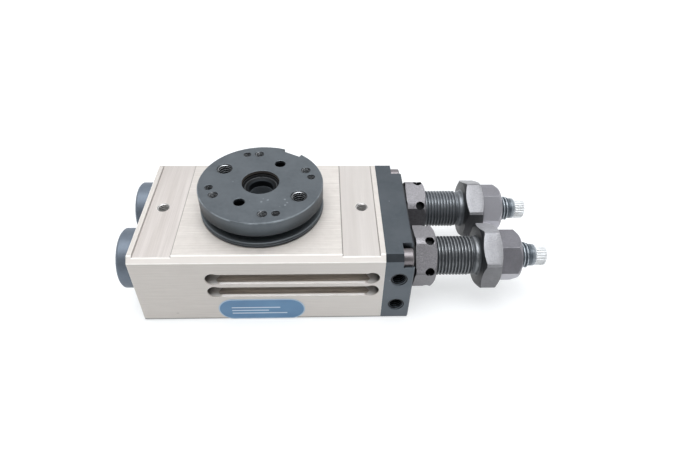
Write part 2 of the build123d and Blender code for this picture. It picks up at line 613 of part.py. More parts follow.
def make_stop(side, y0, shift, collar_deg, hex_deg, nut_deg, rod_tip):
    s = shift
    # threaded sleeve with a hexagon head
    head = hex_block(y0, 18.0, hex_deg, HEX_X0 + s, HEX_X1 + s, 8.9, 8.9, 10.15, 0.55, 0.55)
    with BuildPart() as sleeve:
        add(head)
        outline = [(NOSE_X + s, 0), (NOSE_X + s, 5.2), (NOSE_X + 0.3 + s, 5.5), (THREAD_X0 - 0.5 + s, 5.5)]
        outline += thread_outline(THREAD_X0 + s, THREAD_X1 + s, 6.0, 0.52)
        outline += [(THREAD_X1 + s, 5.48), (THREAD_X1 + 0.7 + s, 5.55), (THREAD_X1 + 1.0 + s, 5.95), (HEX_X0 - 0.4 + s, 5.95),
                    (HEX_X0 + s, 6.3), (HEX_X0 + 0.5 + s, 6.3), (HEX_X0 + 0.5 + s, 0)]
        with BuildSketch(axial_plane(y0)):
            with BuildLine():
                Polyline(*outline, close=True)
            make_face()
        revolve(axis=axial_axis(y0))
        with BuildSketch(Plane.YZ.offset(NOSE_X - 1 + s)):
            with Locations((y0, AXIS_Z)):
                Circle(4.0)
        extrude(amount=60, mode=Mode.SUBTRACT)
    write(sleeve, side + "_stop_sleeve")

    # lock nut: hexagon with turned corners and tommy-bar holes at the corners
    ring = hex_block(y0, 17.0, collar_deg, COLLAR_X0, COLLAR_X1, 9.0, 8.35, 9.3, 0.6, 0.8)
    with BuildPart() as collar:
        add(ring)
        with BuildSketch(Plane.YZ.offset(COLLAR_X0 - 1)):
            with Locations((y0, AXIS_Z)):
                Circle(6.04)
        extrude(amount=10, mode=Mode.SUBTRACT)
        for k in range(6):
            a = math.radians(180 - collar_deg + 60 * k)
            out = Vector(0, math.cos(a), math.sin(a))
            with BuildSketch(Plane(origin=Vector(COLLAR_HOLE_X, y0, AXIS_Z) + out * 10.5, x_dir=(1, 0, 0), z_dir=out)):
                Circle(1.375)
            extrude(amount=-3.4, mode=Mode.SUBTRACT)
    write(collar, side + "_stop_locknut")

    # shock absorber body, threaded all along, with a smooth tip
    with BuildPart() as body:
        outline = [(35.0 + s, 0), (35.0 + s, 3.6), (35.3 + s, 3.95), (NUT_X1 - 0.5 + s, 3.95)]
        outline += thread_outline(NUT_X1 + s, TIP_THREAD_X1 + s, 3.97, 0.5)
        outline += [(TIP_THREAD_X1 - 0.1 + s, 3.4), (TIP_X - 0.3 + s, 3.4), (TIP_X + s, 3.1), (TIP_X + s, 0)]
        with BuildSketch(axial_plane(y0)):
            with BuildLine():
                Polyline(*outline, close=True)
            make_face()
        revolve(axis=axial_axis(y0))
        with BuildSketch(Plane.YZ.offset(34 + s)):
            with Locations((y0, AXIS_Z)):
                Circle(3.0)
        extrude(amount=30, mode=Mode.SUBTRACT)
        with BuildSketch(Plane.YZ.offset(79 + s)):
            with Locations((y0, AXIS_Z)):
                Circle(1.25)
        extrude(amount=10, mode=Mode.SUBTRACT)
    write(body, side + "_absorber_body")

    with BuildPart() as gland:
        with BuildSketch(axial_plane(y0)):
            with BuildLine():
                Polyline((35.0 + s, 1.56), (35.0 + s, 3.0), (39.0 + s, 3.0), (39.0 + s, 1.56), close=True)
            make_face()
        revolve(axis=axial_axis(y0))
    write(gland, side + "_absorber_gland")

    block = hex_block(y0, 14.0, nut_deg, HEX_X1 + s, NUT_X1 + s, 8.0, 6.9, 8.083, 0.3, 1.1)
    with BuildPart() as nut:
        add(block)
        with BuildSketch(Plane.YZ.offset(HEX_X1 - 1 + s)):
            with Locations((y0, AXIS_Z)):
                Circle(4.0)
        extrude(amount=12, mode=Mode.SUBTRACT)
    write(nut, side + "_absorber_nut")

    # rod with its bumper tip outside and its damping piston inside
    with BuildPart() as rod:
        with BuildSketch(axial_plane(y0)):
            with BuildLine():
                Polyline((rod_tip, 0), (rod_tip, 2.1), (rod_tip + 0.4, 2.5), (rod_tip + 1.8, 2.5), (rod_tip + 1.8, 1.5),
                         (rod_tip + 16.5, 1.5), (rod_tip + 16.5, 2.94), (rod_tip + 19.5, 2.94), (rod_tip + 19.5, 0), close=True)
            make_face()
        revolve(axis=axial_axis(y0))
    write(rod, side + "_absorber_rod")

    # return spring between the damping piston and the closed end of the body
    spring_x0, spring_x1 = rod_tip + 19.55 + 0.35, 64 + s - 0.4
    with BuildPart() as spring:
        with BuildLine():
            coil = Helix(pitch=(spring_x1 - spring_x0) / 7, height=spring_x1 - spring_x0, radius=2.3,
                         center=(spring_x0, y0, AXIS_Z), direction=(1, 0, 0))
        with BuildSketch(Plane(origin=coil @ 0, z_dir=coil % 0)):
            Circle(0.3)
        sweep()
    write(spring, side + "_absorber_spring")

    # adjusting knob with straight flutes and a needle stem
    with BuildPart() as knob:
        with BuildSketch(Plane.YZ.offset(KNOB_X0 + s)):
            with Locations((y0, AXIS_Z)):
                Circle(3.3)
                with PolarLocations(3.45, 16):
                    Circle(0.36, mode=Mode.SUBTRACT)
        extrude(amount=KNOB_X1 - KNOB_X0)
        with BuildSketch(axial_plane(y0)):
            with BuildLine():
                Polyline((KNOB_X0 + s, 0), (KNOB_X0 + s, 3.0), (KNOB_X0 + 0.3 + s, 3.3), (KNOB_X1 - 0.45 + s, 3.3),
                         (KNOB_X1 + s, 2.85), (KNOB_X1 + s, 0), close=True)
            make_face()
        revolve(axis=axial_axis(y0), mode=Mode.INTERSECT)
        with BuildSketch(Plane.YZ.offset(KNOB_X0 + s)):
            with Locations((y0, AXIS_Z)):
                Circle(1.2)
        extrude(amount=-4.0)
        # screwdriver slot in the end
        with BuildSketch(Plane.YZ.offset(KNOB_X1 + s)):
            with Locations((y0, AXIS_Z)):
                Rectangle(3.6, 0.7)
        extrude(amount=-1.0, mode=Mode.SUBTRACT)
    write(knob, side + "_absorber_knob")


make_stop("front", -AXIS_Y, 0.0, 13.2, 27.0, 0.6, ROD_TIP)
make_stop("rear", AXIS_Y, REAR_SHIFT, -14.1, 30.7, 9.4, ROD_TIP + REAR_SHIFT + 1.667)

with BuildPart() as stop_seal_washers:
    for y0 in (-AXIS_Y, AXIS_Y):
        with BuildSketch(axial_plane(y0)):
            with BuildLine():
                Polyline((PLATE_X, 6.06), (PLATE_X, 8.3), (COLLAR_X0 - 0.15, 8.3), (COLLAR_X0 - 0.02, 8.1), (COLLAR_X0 - 0.02, 6.06), close=True)
            make_face()
        revolve(axis=axial_axis(y0))
write(stop_seal_washers, "stop_seal_washers")
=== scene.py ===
"""Looks for the rotary pneumatic actuator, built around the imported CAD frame."""

import json
import math

import bmesh
import bpy
import numpy as np
from mathutils import Matrix, Vector


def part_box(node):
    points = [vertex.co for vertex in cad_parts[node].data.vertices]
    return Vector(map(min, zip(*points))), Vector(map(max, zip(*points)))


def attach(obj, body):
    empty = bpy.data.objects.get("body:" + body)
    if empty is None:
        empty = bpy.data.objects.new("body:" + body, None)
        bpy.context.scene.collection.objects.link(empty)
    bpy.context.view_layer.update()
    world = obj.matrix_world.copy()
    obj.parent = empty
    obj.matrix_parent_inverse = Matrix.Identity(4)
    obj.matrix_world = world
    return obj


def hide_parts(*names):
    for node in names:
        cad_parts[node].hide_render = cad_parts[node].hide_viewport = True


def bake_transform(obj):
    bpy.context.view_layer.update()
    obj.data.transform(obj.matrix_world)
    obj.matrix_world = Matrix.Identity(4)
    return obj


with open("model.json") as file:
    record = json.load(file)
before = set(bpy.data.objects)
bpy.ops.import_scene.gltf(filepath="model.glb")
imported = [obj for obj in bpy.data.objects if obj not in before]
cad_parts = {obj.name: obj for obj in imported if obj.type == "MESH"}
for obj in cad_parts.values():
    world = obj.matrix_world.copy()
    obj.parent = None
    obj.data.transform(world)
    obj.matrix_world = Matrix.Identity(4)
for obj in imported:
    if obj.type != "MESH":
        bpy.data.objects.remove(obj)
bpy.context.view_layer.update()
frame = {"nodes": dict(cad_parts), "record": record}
NODES = frame["nodes"]
RECORD = frame["record"]
MM = 0.001
rng = np.random.default_rng(7)


# ----------------------------------------------------------------------------
# Node helpers
# ----------------------------------------------------------------------------
class Graph:
    """Small wrapper that keeps material code short."""

    def __init__(self, name):
        self.mat = bpy.data.materials.new(name)
        self.mat.use_nodes = True
        self.nt = self.mat.node_tree
        self.nt.nodes.clear()
        self.out = self.nt.nodes.new("ShaderNodeOutputMaterial")
        self.bsdf = self.nt.nodes.new("ShaderNodeBsdfPrincipled")
        self.link(self.bsdf.outputs[0], self.out.inputs["Surface"])
        self._coord = None

    def node(self, kind, **props):
        n = self.nt.nodes.new(kind)
        for k, v in props.items():
            setattr(n, k, v)
        return n

    def link(self, a, b):
        self.nt.links.new(a, b)

    def put(self, socket, value):
        if isinstance(value, bpy.types.NodeSocket):
            self.link(value, socket)
        else:
            socket.default_value = value

    @property
    def coord(self):
        """Object coordinates in metres, which are the row frame."""
        if self._coord is None:
            self._coord = self.node("ShaderNodeTexCoord").outputs["Object"]
        return self._coord

    def scaled(self, sx, sy, sz, offset=(0, 0, 0)):
        m = self.node("ShaderNodeMapping")
        self.link(self.coord, m.inputs["Vector"])
        m.inputs["Scale"].default_value = (sx, sy, sz)
        m.inputs["Location"].default_value = offset
        return m.outputs[0]

    def noise(self, vec, scale=1.0, detail=3.0, rough=0.55, distortion=0.0):
        n = self.node("ShaderNodeTexNoise")
        self.link(vec, n.inputs["Vector"])
        n.inputs["Scale"].default_value = scale
        n.inputs["Detail"].default_value = detail
        n.inputs["Roughness"].default_value = rough
        n.inputs["Distortion"].default_value = distortion
        return n.outputs["Fac"]

    def voronoi(self, vec, scale=1.0, feature="F1", output="Distance", randomness=1.0):
        n = self.node("ShaderNodeTexVoronoi", feature=feature)
        self.link(vec, n.inputs["Vector"])
        n.inputs["Scale"].default_value = scale
        n.inputs["Randomness"].default_value = randomness
        return n.outputs[output]

    def math(self, op, a, b=0.0, c=0.0, clamp=False):
        n = self.node("ShaderNodeMath", operation=op, use_clamp=clamp)
        self.put(n.inputs[0], a)
        self.put(n.inputs[1], b)
        if op in ("MULTIPLY_ADD", "SMOOTH_MIN", "SMOOTH_MAX", "COMPARE", "WRAP"):
            self.put(n.inputs[2], c)
        return n.outputs[0]

    def remap(self, v, a0, a1, b0, b1, smooth=False):
        n = self.node("ShaderNodeMapRange", interpolation_type="SMOOTHSTEP" if smooth else "LINEAR")
        self.put(n.inputs["Value"], v)
        for i, x in zip(("From Min", "From Max", "To Min", "To Max"), (a0, a1, b0, b1)):
            self.put(n.inputs[i], x)
        return n.outputs[0]

    def mix(self, fac, a, b, mode="MIX"):
        n = self.node("ShaderNodeMix", data_type="RGBA", blend_type=mode)
        self.put(n.inputs[0], fac)
        for s, v in ((n.inputs[6], a), (n.inputs[7], b)):
            if isinstance(v, bpy.types.NodeSocket):
                self.link(v, s)
            else:
                s.default_value = (*v, 1.0) if len(v) == 3 else v
        return n.outputs[2]

    def xyz(self, vec=None):
        n = self.node("ShaderNodeSeparateXYZ")
        self.link(vec or self.coord, n.inputs[0])
        return n.outputs

    def normal_xyz(self):
        """Face direction in the piece's own axes."""
        t = self.node("ShaderNodeTexCoord")
        n = self.node("ShaderNodeSeparateXYZ")
        self.link(t.outputs["Normal"], n.inputs[0])
        return n.outputs

    def attribute(self, name):
        n = self.node("ShaderNodeAttribute", attribute_name=name)
        return n.outputs["Fac"]

    def edge_wear_and_highlight(self, radius_mm=0.25, gain=6.0):
        """1 on convex and concave edges, 0 on flats, from the rounded-edge normal."""
        b = self.node("ShaderNodeBevel", samples=4)
        b.inputs["Radius"].default_value = radius_mm * MM
        g = self.node("ShaderNodeNewGeometry")
        d = self.node("ShaderNodeVectorMath", operation="DOT_PRODUCT")
        self.link(b.outputs[0], d.inputs[0])
        self.link(g.outputs["Normal"], d.inputs[1])
        return self.math("MULTIPLY", self.math("SUBTRACT", 1.0, d.outputs["Value"]), gain, clamp=True)

    def crevice(self, distance_mm=1.5, open_at=0.72, shut_at=0.30, amount=0.9):
        """Painted shade, from ambient occlusion, that gathers in corners, holes and seams."""
        n = self.node("ShaderNodeAmbientOcclusion", samples=6)
        n.inputs["Distance"].default_value = distance_mm * MM
        return self.remap(n.outputs["AO"], shut_at, open_at, amount, 0.0)

    def bump(self, height, strength, distance_mm, normal=None):
        n = self.node("ShaderNodeBump")
        n.inputs["Strength"].default_value = strength
        n.inputs["Distance"].default_value = distance_mm * MM
        self.link(height, n.inputs["Height"])
        if normal is not None:
            self.link(normal, n.inputs["Normal"])
        return n.outputs[0]

    def rounded(self, radius_mm, samples=4):
        b = self.node("ShaderNodeBevel", samples=samples)
        b.inputs["Radius"].default_value = radius_mm * MM
        return b.outputs[0]

    def set(self, **kw):
        names = {"color": "Base Color", "metallic": "Metallic", "roughness": "Roughness", "normal": "Normal",
                 "specular": "Specular IOR Level", "coat": "Coat Weight", "coat_rough": "Coat Roughness",
                 "sheen": "Sheen Weight", "sheen_rough": "Sheen Roughness", "aniso": "Anisotropic", "ior": "IOR", "tint": "Specular Tint",
                 "glow": "Emission Color", "glow_strength": "Emission Strength"}
        for k, v in kw.items():
            s = self.bsdf.inputs[names[k]]
            if isinstance(v, tuple) and len(v) == 3:
                v = (*v, 1.0)
            self.put(s, v)
        return self.mat


def middle(node):
    lo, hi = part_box(node)
    return (lo + hi) / 2 / MM


AXIS_Y = {s: round(middle(s + "_stop_sleeve").y, 3) for s in ("front", "rear")}
AXIS_Z = round(middle("front_stop_sleeve").z, 3)

def srgb(r, g, b):
    """Linear colour from 0-255 display values."""
    def f(c):
        c = c / 255.0
        return c / 12.92 if c <= 0.04045 else ((c + 0.055) / 1.055) ** 2.4
    return (f(r), f(g), f(b))


# ----------------------------------------------------------------------------
# Materials
# ----------------------------------------------------------------------------
def band(g, v, lo, hi, soft):
    """1 where v lies between lo and hi, falling to 0 over soft on both sides."""
    return g.math("MULTIPLY", g.remap(v, lo - soft, lo + soft, 0, 1), g.remap(v, hi - soft, hi + soft, 1, 0))


SMUDGE = (-0.0255, 0.0032)    # x and z of a small stain on the front wall


def mat_housing():
    g = Graph("anodised_housing")
    lo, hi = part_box("housing")
    x, y, z = g.xyz()
    nx, ny, nz = g.normal_xyz()
    ax = g.math("ABSOLUTE", x)
    # machined end strips: lower than the middle, so the height tells them apart
    strip = g.math("MULTIPLY", g.remap(ax, 0.02370, 0.02382, 0, 1), g.remap(ax, 0.03450, 0.03462, 1, 0))
    up = g.remap(nz, 0.9, 0.99, 0, 1)
    strip = g.math("MULTIPLY", strip, up)
    top_mid = g.math("MULTIPLY", up, g.remap(ax, 0.02375, 0.02385, 1, 0))
    # fine lay along X on the middle, along Y on the strips, and a fine mottle everywhere
    lines_x = g.noise(g.scaled(70, 5000, 5000), 1.0, 3.0, 0.6)
    bands_x = g.noise(g.scaled(22, 1100, 1100, (3, 1, 0)), 1.0, 2.0, 0.5)
    lines_y = g.noise(g.scaled(5200, 60, 60, (2, 0, 5)), 1.0, 3.0, 0.6)
    bands_y = g.noise(g.scaled(300, 16, 16, (9, 4, 0)), 1.0, 2.0, 0.5)
    mottle = g.noise(g.scaled(420, 420, 420), 1.0, 5.0, 0.6)
    grain = g.noise(g.scaled(9000, 9000, 9000), 1.0, 2.0, 0.5)
    side_lines = g.noise(g.scaled(90, 2600, 3000, (1, 7, 2)), 1.0, 3.0, 0.6)

    def inside_any(graph, yy, low):
        return graph.remap(yy, low.y + 0.0044, low.y + 0.0046, 1, 0)

    def c_lay(graph, v):
        return graph.remap(v, 0.35, 0.65, 0, 1)

    # one grey field that holds whichever lay belongs to the surface
    a = g.math("MULTIPLY", g.math("SUBTRACT", g.math("ADD", g.math("MULTIPLY", lines_x, 0.93), g.math("MULTIPLY", bands_x, 0.07)), 0.5), top_mid)
    b = g.math("MULTIPLY", g.math("SUBTRACT", g.math("ADD", g.math("MULTIPLY", lines_y, 0.35), g.math("MULTIPLY", bands_y, 0.65)), 0.5), strip)
    c = g.math("MULTIPLY", g.math("SUBTRACT", side_lines, 0.5), g.math("MULTIPLY", g.math("SUBTRACT", 1.0, up), 0.35))
    lay = g.math("ADD", g.math("ADD", a, b), c)
    base = g.mix(g.remap(mottle, 0.3, 0.7, 0, 1), srgb(219, 213, 207), srgb(210, 204, 198))
    base = g.mix(g.remap(lay, -0.24, 0.04, 0.34, 0), base, srgb(190, 180, 172))
    base = g.mix(g.remap(lay, 0.0, 0.24, 0, 0.62), base, srgb(240, 235, 229))
    # the upright walls are a pinker grey, and painted darker than the milled top as painted shade
    wall = g.remap(g.math("ABSOLUTE", nz), 0.25, 0.5, 1, 0)
    base = g.mix(g.math("MULTIPLY", wall, 0.82), base, g.mix(g.remap(c_lay(g, side_lines), 0, 1, 0, 1), srgb(202, 196, 190), srgb(211, 205, 199)))
    # painted light: the walls are painted paler towards the end plate
    base = g.mix(g.math("MULTIPLY", wall, g.remap(x, 0.004, 0.034, 0, 0.55)), base, srgb(222, 217, 212))
    # a faint smudge low on the front wall
    su, sv = g.math("SUBTRACT", x, SMUDGE[0]), g.math("SUBTRACT", z, SMUDGE[1])
    sd = g.math("SQRT", g.math("ADD", g.math("MULTIPLY", su, su), g.math("MULTIPLY", g.math("MULTIPLY", sv, sv), 4.0)))
    base = g.mix(g.math("MULTIPLY", g.math("MULTIPLY", wall, g.remap(sd, 0.0006, 0.0002, 0, 0.5)), g.remap(y, lo.y + 0.001, lo.y + 0.0005, 0, 1)), base, srgb(150, 143, 138))
    # painted light: the front bevel along the top edge is painted bright
    cant = g.math("MULTIPLY", band(g, nz, 0.6, 0.8, 0.03), g.remap(z, hi.z - 0.0020, hi.z - 0.0018, 0, 1))
    base = g.mix(g.math("MULTIPLY", cant, 0.85), base, srgb(240, 234, 228))
    # the strips are a pinker grey, and the right one is duller than the left
    pink = g.mix(g.remap(bands_y, 0.36, 0.64, 0, 1), srgb(200, 192, 187), srgb(218, 211, 207))
    pink = g.mix(g.remap(lines_y, 0.40, 0.62, 0.35, 0), pink, srgb(176, 168, 163))
    pink = g.mix(g.remap(x, 0.0, 0.03, 0, 0.55), pink, srgb(201, 197, 193))
    base = g.mix(g.math("MULTIPLY", strip, 0.85), base, pink)
    # painted shade: the far side of the top is painted a little darker, most of all on the left
    far = g.math("MULTIPLY", g.remap(y, 0.002, 0.022, 0, 0.42), g.remap(x, 0.004, -0.022, 0.25, 1.0))
    base = g.mix(g.math("MULTIPLY", far, up), base, srgb(184, 178, 173))
    # painted shade: a thin dark line in the corner where each strip steps up to the middle and to the outer rib
    step_shade = g.math("MAXIMUM", band(g, ax, 0.02368, 0.02404, 0.00004), band(g, ax, 0.03428, 0.03450, 0.00004))
    on_flat = g.math("MULTIPLY", g.remap(z, hi.z - 0.00056, hi.z - 0.00050, 0, 1), g.remap(y, lo.y + 0.00120, lo.y + 0.00126, 0, 1))
    step_shade = g.math("MULTIPLY", g.math("MULTIPLY", step_shade, on_flat), 0.72)
    base = g.mix(step_shade, base, srgb(112, 105, 100))
    # inside the two sensor slots: browner and streaky, with painted shade on a band in the lower half of each channel
    inside = g.math("MULTIPLY", g.remap(y, lo.y + 0.0006, lo.y + 0.0012, 0, 1), g.remap(y, lo.y + 0.0044, lo.y + 0.0046, 1, 0))
    zone = g.math("MULTIPLY", band(g, z, 0.0101, 0.0206, 0.00005), band(g, x, -0.0156, 0.0349, 0.00005))
    inside = g.math("MULTIPLY", inside, zone)
    streak = g.noise(g.scaled(60, 1400, 2600, (5, 5, 5)), 1.0, 3.0, 0.6)
    brown = g.mix(g.remap(streak, 0.35, 0.65, 0, 1), srgb(168, 158, 149), srgb(222, 212, 202))
    for cz in (0.01805, 0.01265):
        brown = g.mix(g.math("MULTIPLY", band(g, z, cz - 0.0024, cz - 0.0004, 0.0004), 0.55), brown, srgb(140, 136, 132))
    base = g.mix(inside, base, brown)
    # round pockets at the slots' ends: dark above, catching light on the lower right of the wall
    for cx in (-0.0131, 0.03245):
        for cz in (0.01805, 0.01265):
            u, v = g.math("SUBTRACT", x, cx), g.math("SUBTRACT", z, cz)
            d = g.math("SQRT", g.math("ADD", g.math("MULTIPLY", u, u), g.math("MULTIPLY", v, v)))
            disc = g.math("MULTIPLY", g.remap(d, 0.00231, 0.00236, 1, 0), g.remap(y, lo.y + 0.00025, lo.y + 0.0006, 0, 1))
            t = g.math("ADD", g.math("MULTIPLY", u, (0.40 if cx < 0 else -0.34) / 0.0023), g.math("MULTIPLY", v, -0.80 / 0.0023))
            tone = g.mix(g.remap(t, -0.05 if cx < 0 else 0.05, 0.95, 0, 1, smooth=True), srgb(66, 63, 61), srgb(236, 234, 232))
            base = g.mix(g.math("MULTIPLY", disc, g.math("MULTIPLY", inside_any(g, y, lo), 0.95)), base, tone)
    # painted highlight: the lower lip of each slot is painted near white, and glows a little further down
    lip = g.math("MULTIPLY", g.math("MULTIPLY", zone, g.remap(nz, 0.85, 0.97, 0, 1)), g.remap(y, lo.y + 0.00080, lo.y + 0.00095, 1, 0))
    lip = g.math("MULTIPLY", lip, band(g, x, -0.01145, 0.0307, 0.0004))
    base = g.mix(lip, base, srgb(252, 250, 248))
    # painted highlight: a bright line along both edges of the front bevel, patchy along its length, which also glows a
    # little further down
    low_line = g.math("MULTIPLY", band(g, z, hi.z - 0.00184, hi.z - 0.00154, 0.00005), g.remap(y, lo.y + 0.00030, lo.y + 0.00024, 0, 1))
    in_strip = g.math("MULTIPLY", g.remap(ax, 0.02375, 0.02385, 0, 1), g.remap(ax, 0.03450, 0.03460, 1, 0))
    up_mid = g.math("MULTIPLY", g.math("MULTIPLY", band(g, y, lo.y + 0.00142, lo.y + 0.00184, 0.00005), g.remap(z, hi.z - 0.00040, hi.z - 0.00036, 0, 1)), g.math("SUBTRACT", 1.0, in_strip))
    up_strip = g.math("MULTIPLY", g.math("MULTIPLY", band(g, y, lo.y + 0.00100, lo.y + 0.00136, 0.00005), g.remap(z, hi.z - 0.00086, hi.z - 0.00080, 0, 1)), in_strip)
    glint = g.noise(g.scaled(260, 900, 900, (6, 2, 2)), 1.0, 2.0, 0.5)
    edge_line_highlight = g.math("MULTIPLY", g.math("MAXIMUM", low_line, g.math("MAXIMUM", up_mid, up_strip)), g.remap(glint, 0.3, 0.6, 0.55, 1.0))
    base = g.mix(edge_line_highlight, base, srgb(252, 249, 245))
    # abraded edges and painted highlight: edges are painted pale, except inside the slots and on the step lines
    wear_and_highlight = g.edge_wear_and_highlight(0.22, 5.0)
    open_air = g.math("SUBTRACT", 1.0, g.math("MAXIMUM", inside, step_shade))
    base = g.mix(g.math("MULTIPLY", g.math("MULTIPLY", wear_and_highlight, open_air), 0.75), base, srgb(252, 249, 245))
    # underside chamfer carries the shadow line at the foot of the walls
    foot = g.math("MULTIPLY", g.remap(z, 0.00072, 0.00092, 1, 0), g.remap(nz, -0.95, -0.80, 0, 1))
    base = g.mix(g.math("MULTIPLY", foot, 0.85), base, srgb(70, 73, 74))
    # painted shade: darker in corners and recesses, from ambient occlusion, but not on the slots' lower lips
    seams = g.crevice(0.5, 0.62, 0.25, 0.6)
    base = g.mix(g.math("MULTIPLY", seams, g.math("SUBTRACT", 1.0, lip)), base, srgb(110, 102, 96))
    rough = g.math("ADD", g.remap(mottle, 0.3, 0.7, 0.40, 0.50), g.math("MULTIPLY", lay, 0.35))
    rough = g.math("SUBTRACT", rough, g.math("MULTIPLY", strip, 0.05))
    bump = g.bump(lay, 0.30, 0.03, g.rounded(0.14))
    bump = g.bump(grain, 0.18, 0.02, bump)
    # painted light: the slots' lower lips, the bevel and its edge lines glow a little, to stay the brightest lines of
    # the body
    glow = g.math("ADD", g.math("MULTIPLY", lip, 0.13), g.math("ADD", g.math("MULTIPLY", cant, 0.02), g.math("MULTIPLY", edge_line_highlight, 0.10)))
    return g.set(color=base, metallic=0.12, roughness=rough, normal=bump, specular=0.5, glow=(1.0, 0.985, 0.965), glow_strength=glow)


# centres, radii (mm) and strengths of the rub marks on the turntable's face
RUBS = ((0.94, -9.22, 0.42, 0.55), (1.35, -7.79, 0.28, 0.3), (2.76, -8.36, 0.44, 0.6), (7.54, -8.08, 0.4, 0.6), (8.23, -9.56, 0.38, 0.5), (7.76, -10.57, 0.36, 0.5), (-8.1, 0.11, 0.4, 0.25), (-2.38, -8.44, 0.3, 0.15), (6.25, -11.26, 0.25, 0.2))


def mat_dark_anodise(name, low, high, rough0, rough1, seed=0.0, table=False, metallic=0.8, plate=False):
    g = Graph(name)
    broad = g.noise(g.scaled(120, 120, 120, (seed, 2, 3)), 1.0, 3.0, 0.55)
    mid = g.noise(g.scaled(900, 900, 900, (1, seed, 5)), 1.0, 4.0, 0.6)
    fine = g.noise(g.scaled(11000, 11000, 11000, (seed, 0, 0)), 1.0, 2.0, 0.5)
    base = g.mix(g.remap(broad, 0.35, 0.65, 0, 1), low, high)
    base = g.mix(g.remap(mid, 0.35, 0.7, 0, 0.35), base, tuple(c * 1.2 for c in high))
    # pale dust specks and a few short rub marks
    cells = g.voronoi(g.scaled(420, 420, 420, (seed, 1, 1)), 1.0)
    pick = g.noise(g.scaled(70, 70, 70, (4, seed, 8)), 1.0, 1.0, 0.5)
    speck = g.math("MULTIPLY", g.remap(cells, 0.04, 0.09, 1, 0), g.remap(pick, 0.57, 0.66, 0, 1))
    rub = g.noise(g.scaled(240, 2200, 900, (seed, 3, 3)), 1.0, 2.0, 0.6, 0.4)
    rub = g.math("MULTIPLY", g.remap(rub, 0.66, 0.74, 0, 0.5), g.remap(pick, 0.5, 0.62, 0, 1))
    wear_and_highlight = g.edge_wear_and_highlight(0.16, 4.0)
    base = g.mix(g.math("MULTIPLY", speck, 0.6), base, srgb(170, 176, 182))
    base = g.mix(g.math("MULTIPLY", rub, 0.25), base, srgb(140, 146, 152))
    # abraded edges and painted highlight: edges are painted paler
    base = g.mix(g.math("MULTIPLY", wear_and_highlight, 0.30), base, srgb(140, 148, 156))
    # painted shade: darker in corners, holes and seams, from ambient occlusion
    base = g.mix(g.crevice(1.6, 0.70, 0.35, 0.36 if table else 0.9), base, srgb(14, 17, 20))
    if plate:
        px, py, pz = g.normal_xyz()
        hx, hy, hz = g.xyz()
        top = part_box("end_plate")[1].z
        # painted shade: the plate's front bevel is painted dark, and faces turned straight up a little darker
        cant = g.math("MULTIPLY", band(g, pz, 0.55, 0.85, 0.04), g.remap(hz, top - 0.0030, top - 0.0026, 0, 1))
        base = g.mix(g.math("MULTIPLY", cant, 0.66), base, srgb(30, 32, 36))
        base = g.mix(g.remap(pz, 0.9, 0.98, 0, 0.17), base, srgb(10, 11, 12))
    if table:
        lo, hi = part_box("turntable")
        x, y, z = g.xyz()
        nx, ny, nz = g.normal_xyz()
        wall = g.remap(g.math("ABSOLUTE", nz), 0.3, 0.6, 1, 0)
        r = g.math("SQRT", g.math("ADD", g.math("MULTIPLY", x, x), g.math("MULTIPLY", y, y)))
        rim = g.math("MULTIPLY", wall, g.remap(r, 0.0175, 0.0179, 0, 1))
        cloud = g.noise(g.scaled(90, 90, 500, (2, 6, 1)), 1.0, 3.0, 0.6)
        # painted shade: the rim is painted darker towards its lower edge, and the groove and flange under it nearly
        # black
        fall = g.remap(g.math("ADD", z, g.remap(cloud, 0.3, 0.7, -0.0004, 0.0004)), hi.z - 0.0004, hi.z - 0.0046, 0.10, 0.66, smooth=True)
        shade = g.math("MULTIPLY", rim, fall)
        low_part = g.remap(z, hi.z - 0.0050, hi.z - 0.0047, 0.44, 0.0)
        outer = g.remap(r, 0.0150, 0.0154, 0, 1)
        shade = g.math("MAXIMUM", shade, g.math("MULTIPLY", low_part, outer))
        base = g.mix(shade, base, srgb(18, 21, 22))
        # painted highlights: light lines round the flange, on its top edge and the groove's two lips
        for z0, z1, k in ((0.02796, 0.02822, 0.62), (0.02768, 0.02784, 0.70), (0.02716, 0.02740, 0.55), (0.02672, 0.02686, 0.35)):
            base = g.mix(g.math("MULTIPLY", g.math("MULTIPLY", band(g, z, z0, z1, 0.00002), outer), k), base, srgb(128, 134, 138))
        # painted highlight: a bright line on the top edge of the rim, patchy along its length
        edge = g.math("MULTIPLY", band(g, z, hi.z - 0.00034, hi.z - 0.00004, 0.00003), g.remap(r, 0.01805, 0.01815, 0, 1))
        highlight_patches = g.remap(g.noise(g.scaled(210, 210, 210, (5, 8, 2)), 1.0, 2.0, 0.5), 0.42, 0.58, 0.15, 0.60)
        base = g.mix(g.math("MULTIPLY", edge, highlight_patches), base, srgb(178, 186, 192))
        # a few pale rub marks on the face near the rim
        for px, py, pr, pk in RUBS:
            du, dv = g.math("SUBTRACT", x, px * MM), g.math("SUBTRACT", y, py * MM)
            dd = g.math("SQRT", g.math("ADD", g.math("MULTIPLY", du, du), g.math("MULTIPLY", dv, dv)))
            dd = g.math("ADD", dd, g.remap(mid, 0.3, 0.7, -0.00018, 0.00018))
            base = g.mix(g.math("MULTIPLY", g.math("MULTIPLY", g.remap(dd, pr * MM, pr * MM * 0.35, 0, pk), g.remap(nz, 0.9, 0.98, 0, 1)), g.remap(z, hi.z - 0.0003, hi.z - 0.0001, 0, 1)), base, srgb(164, 170, 176))
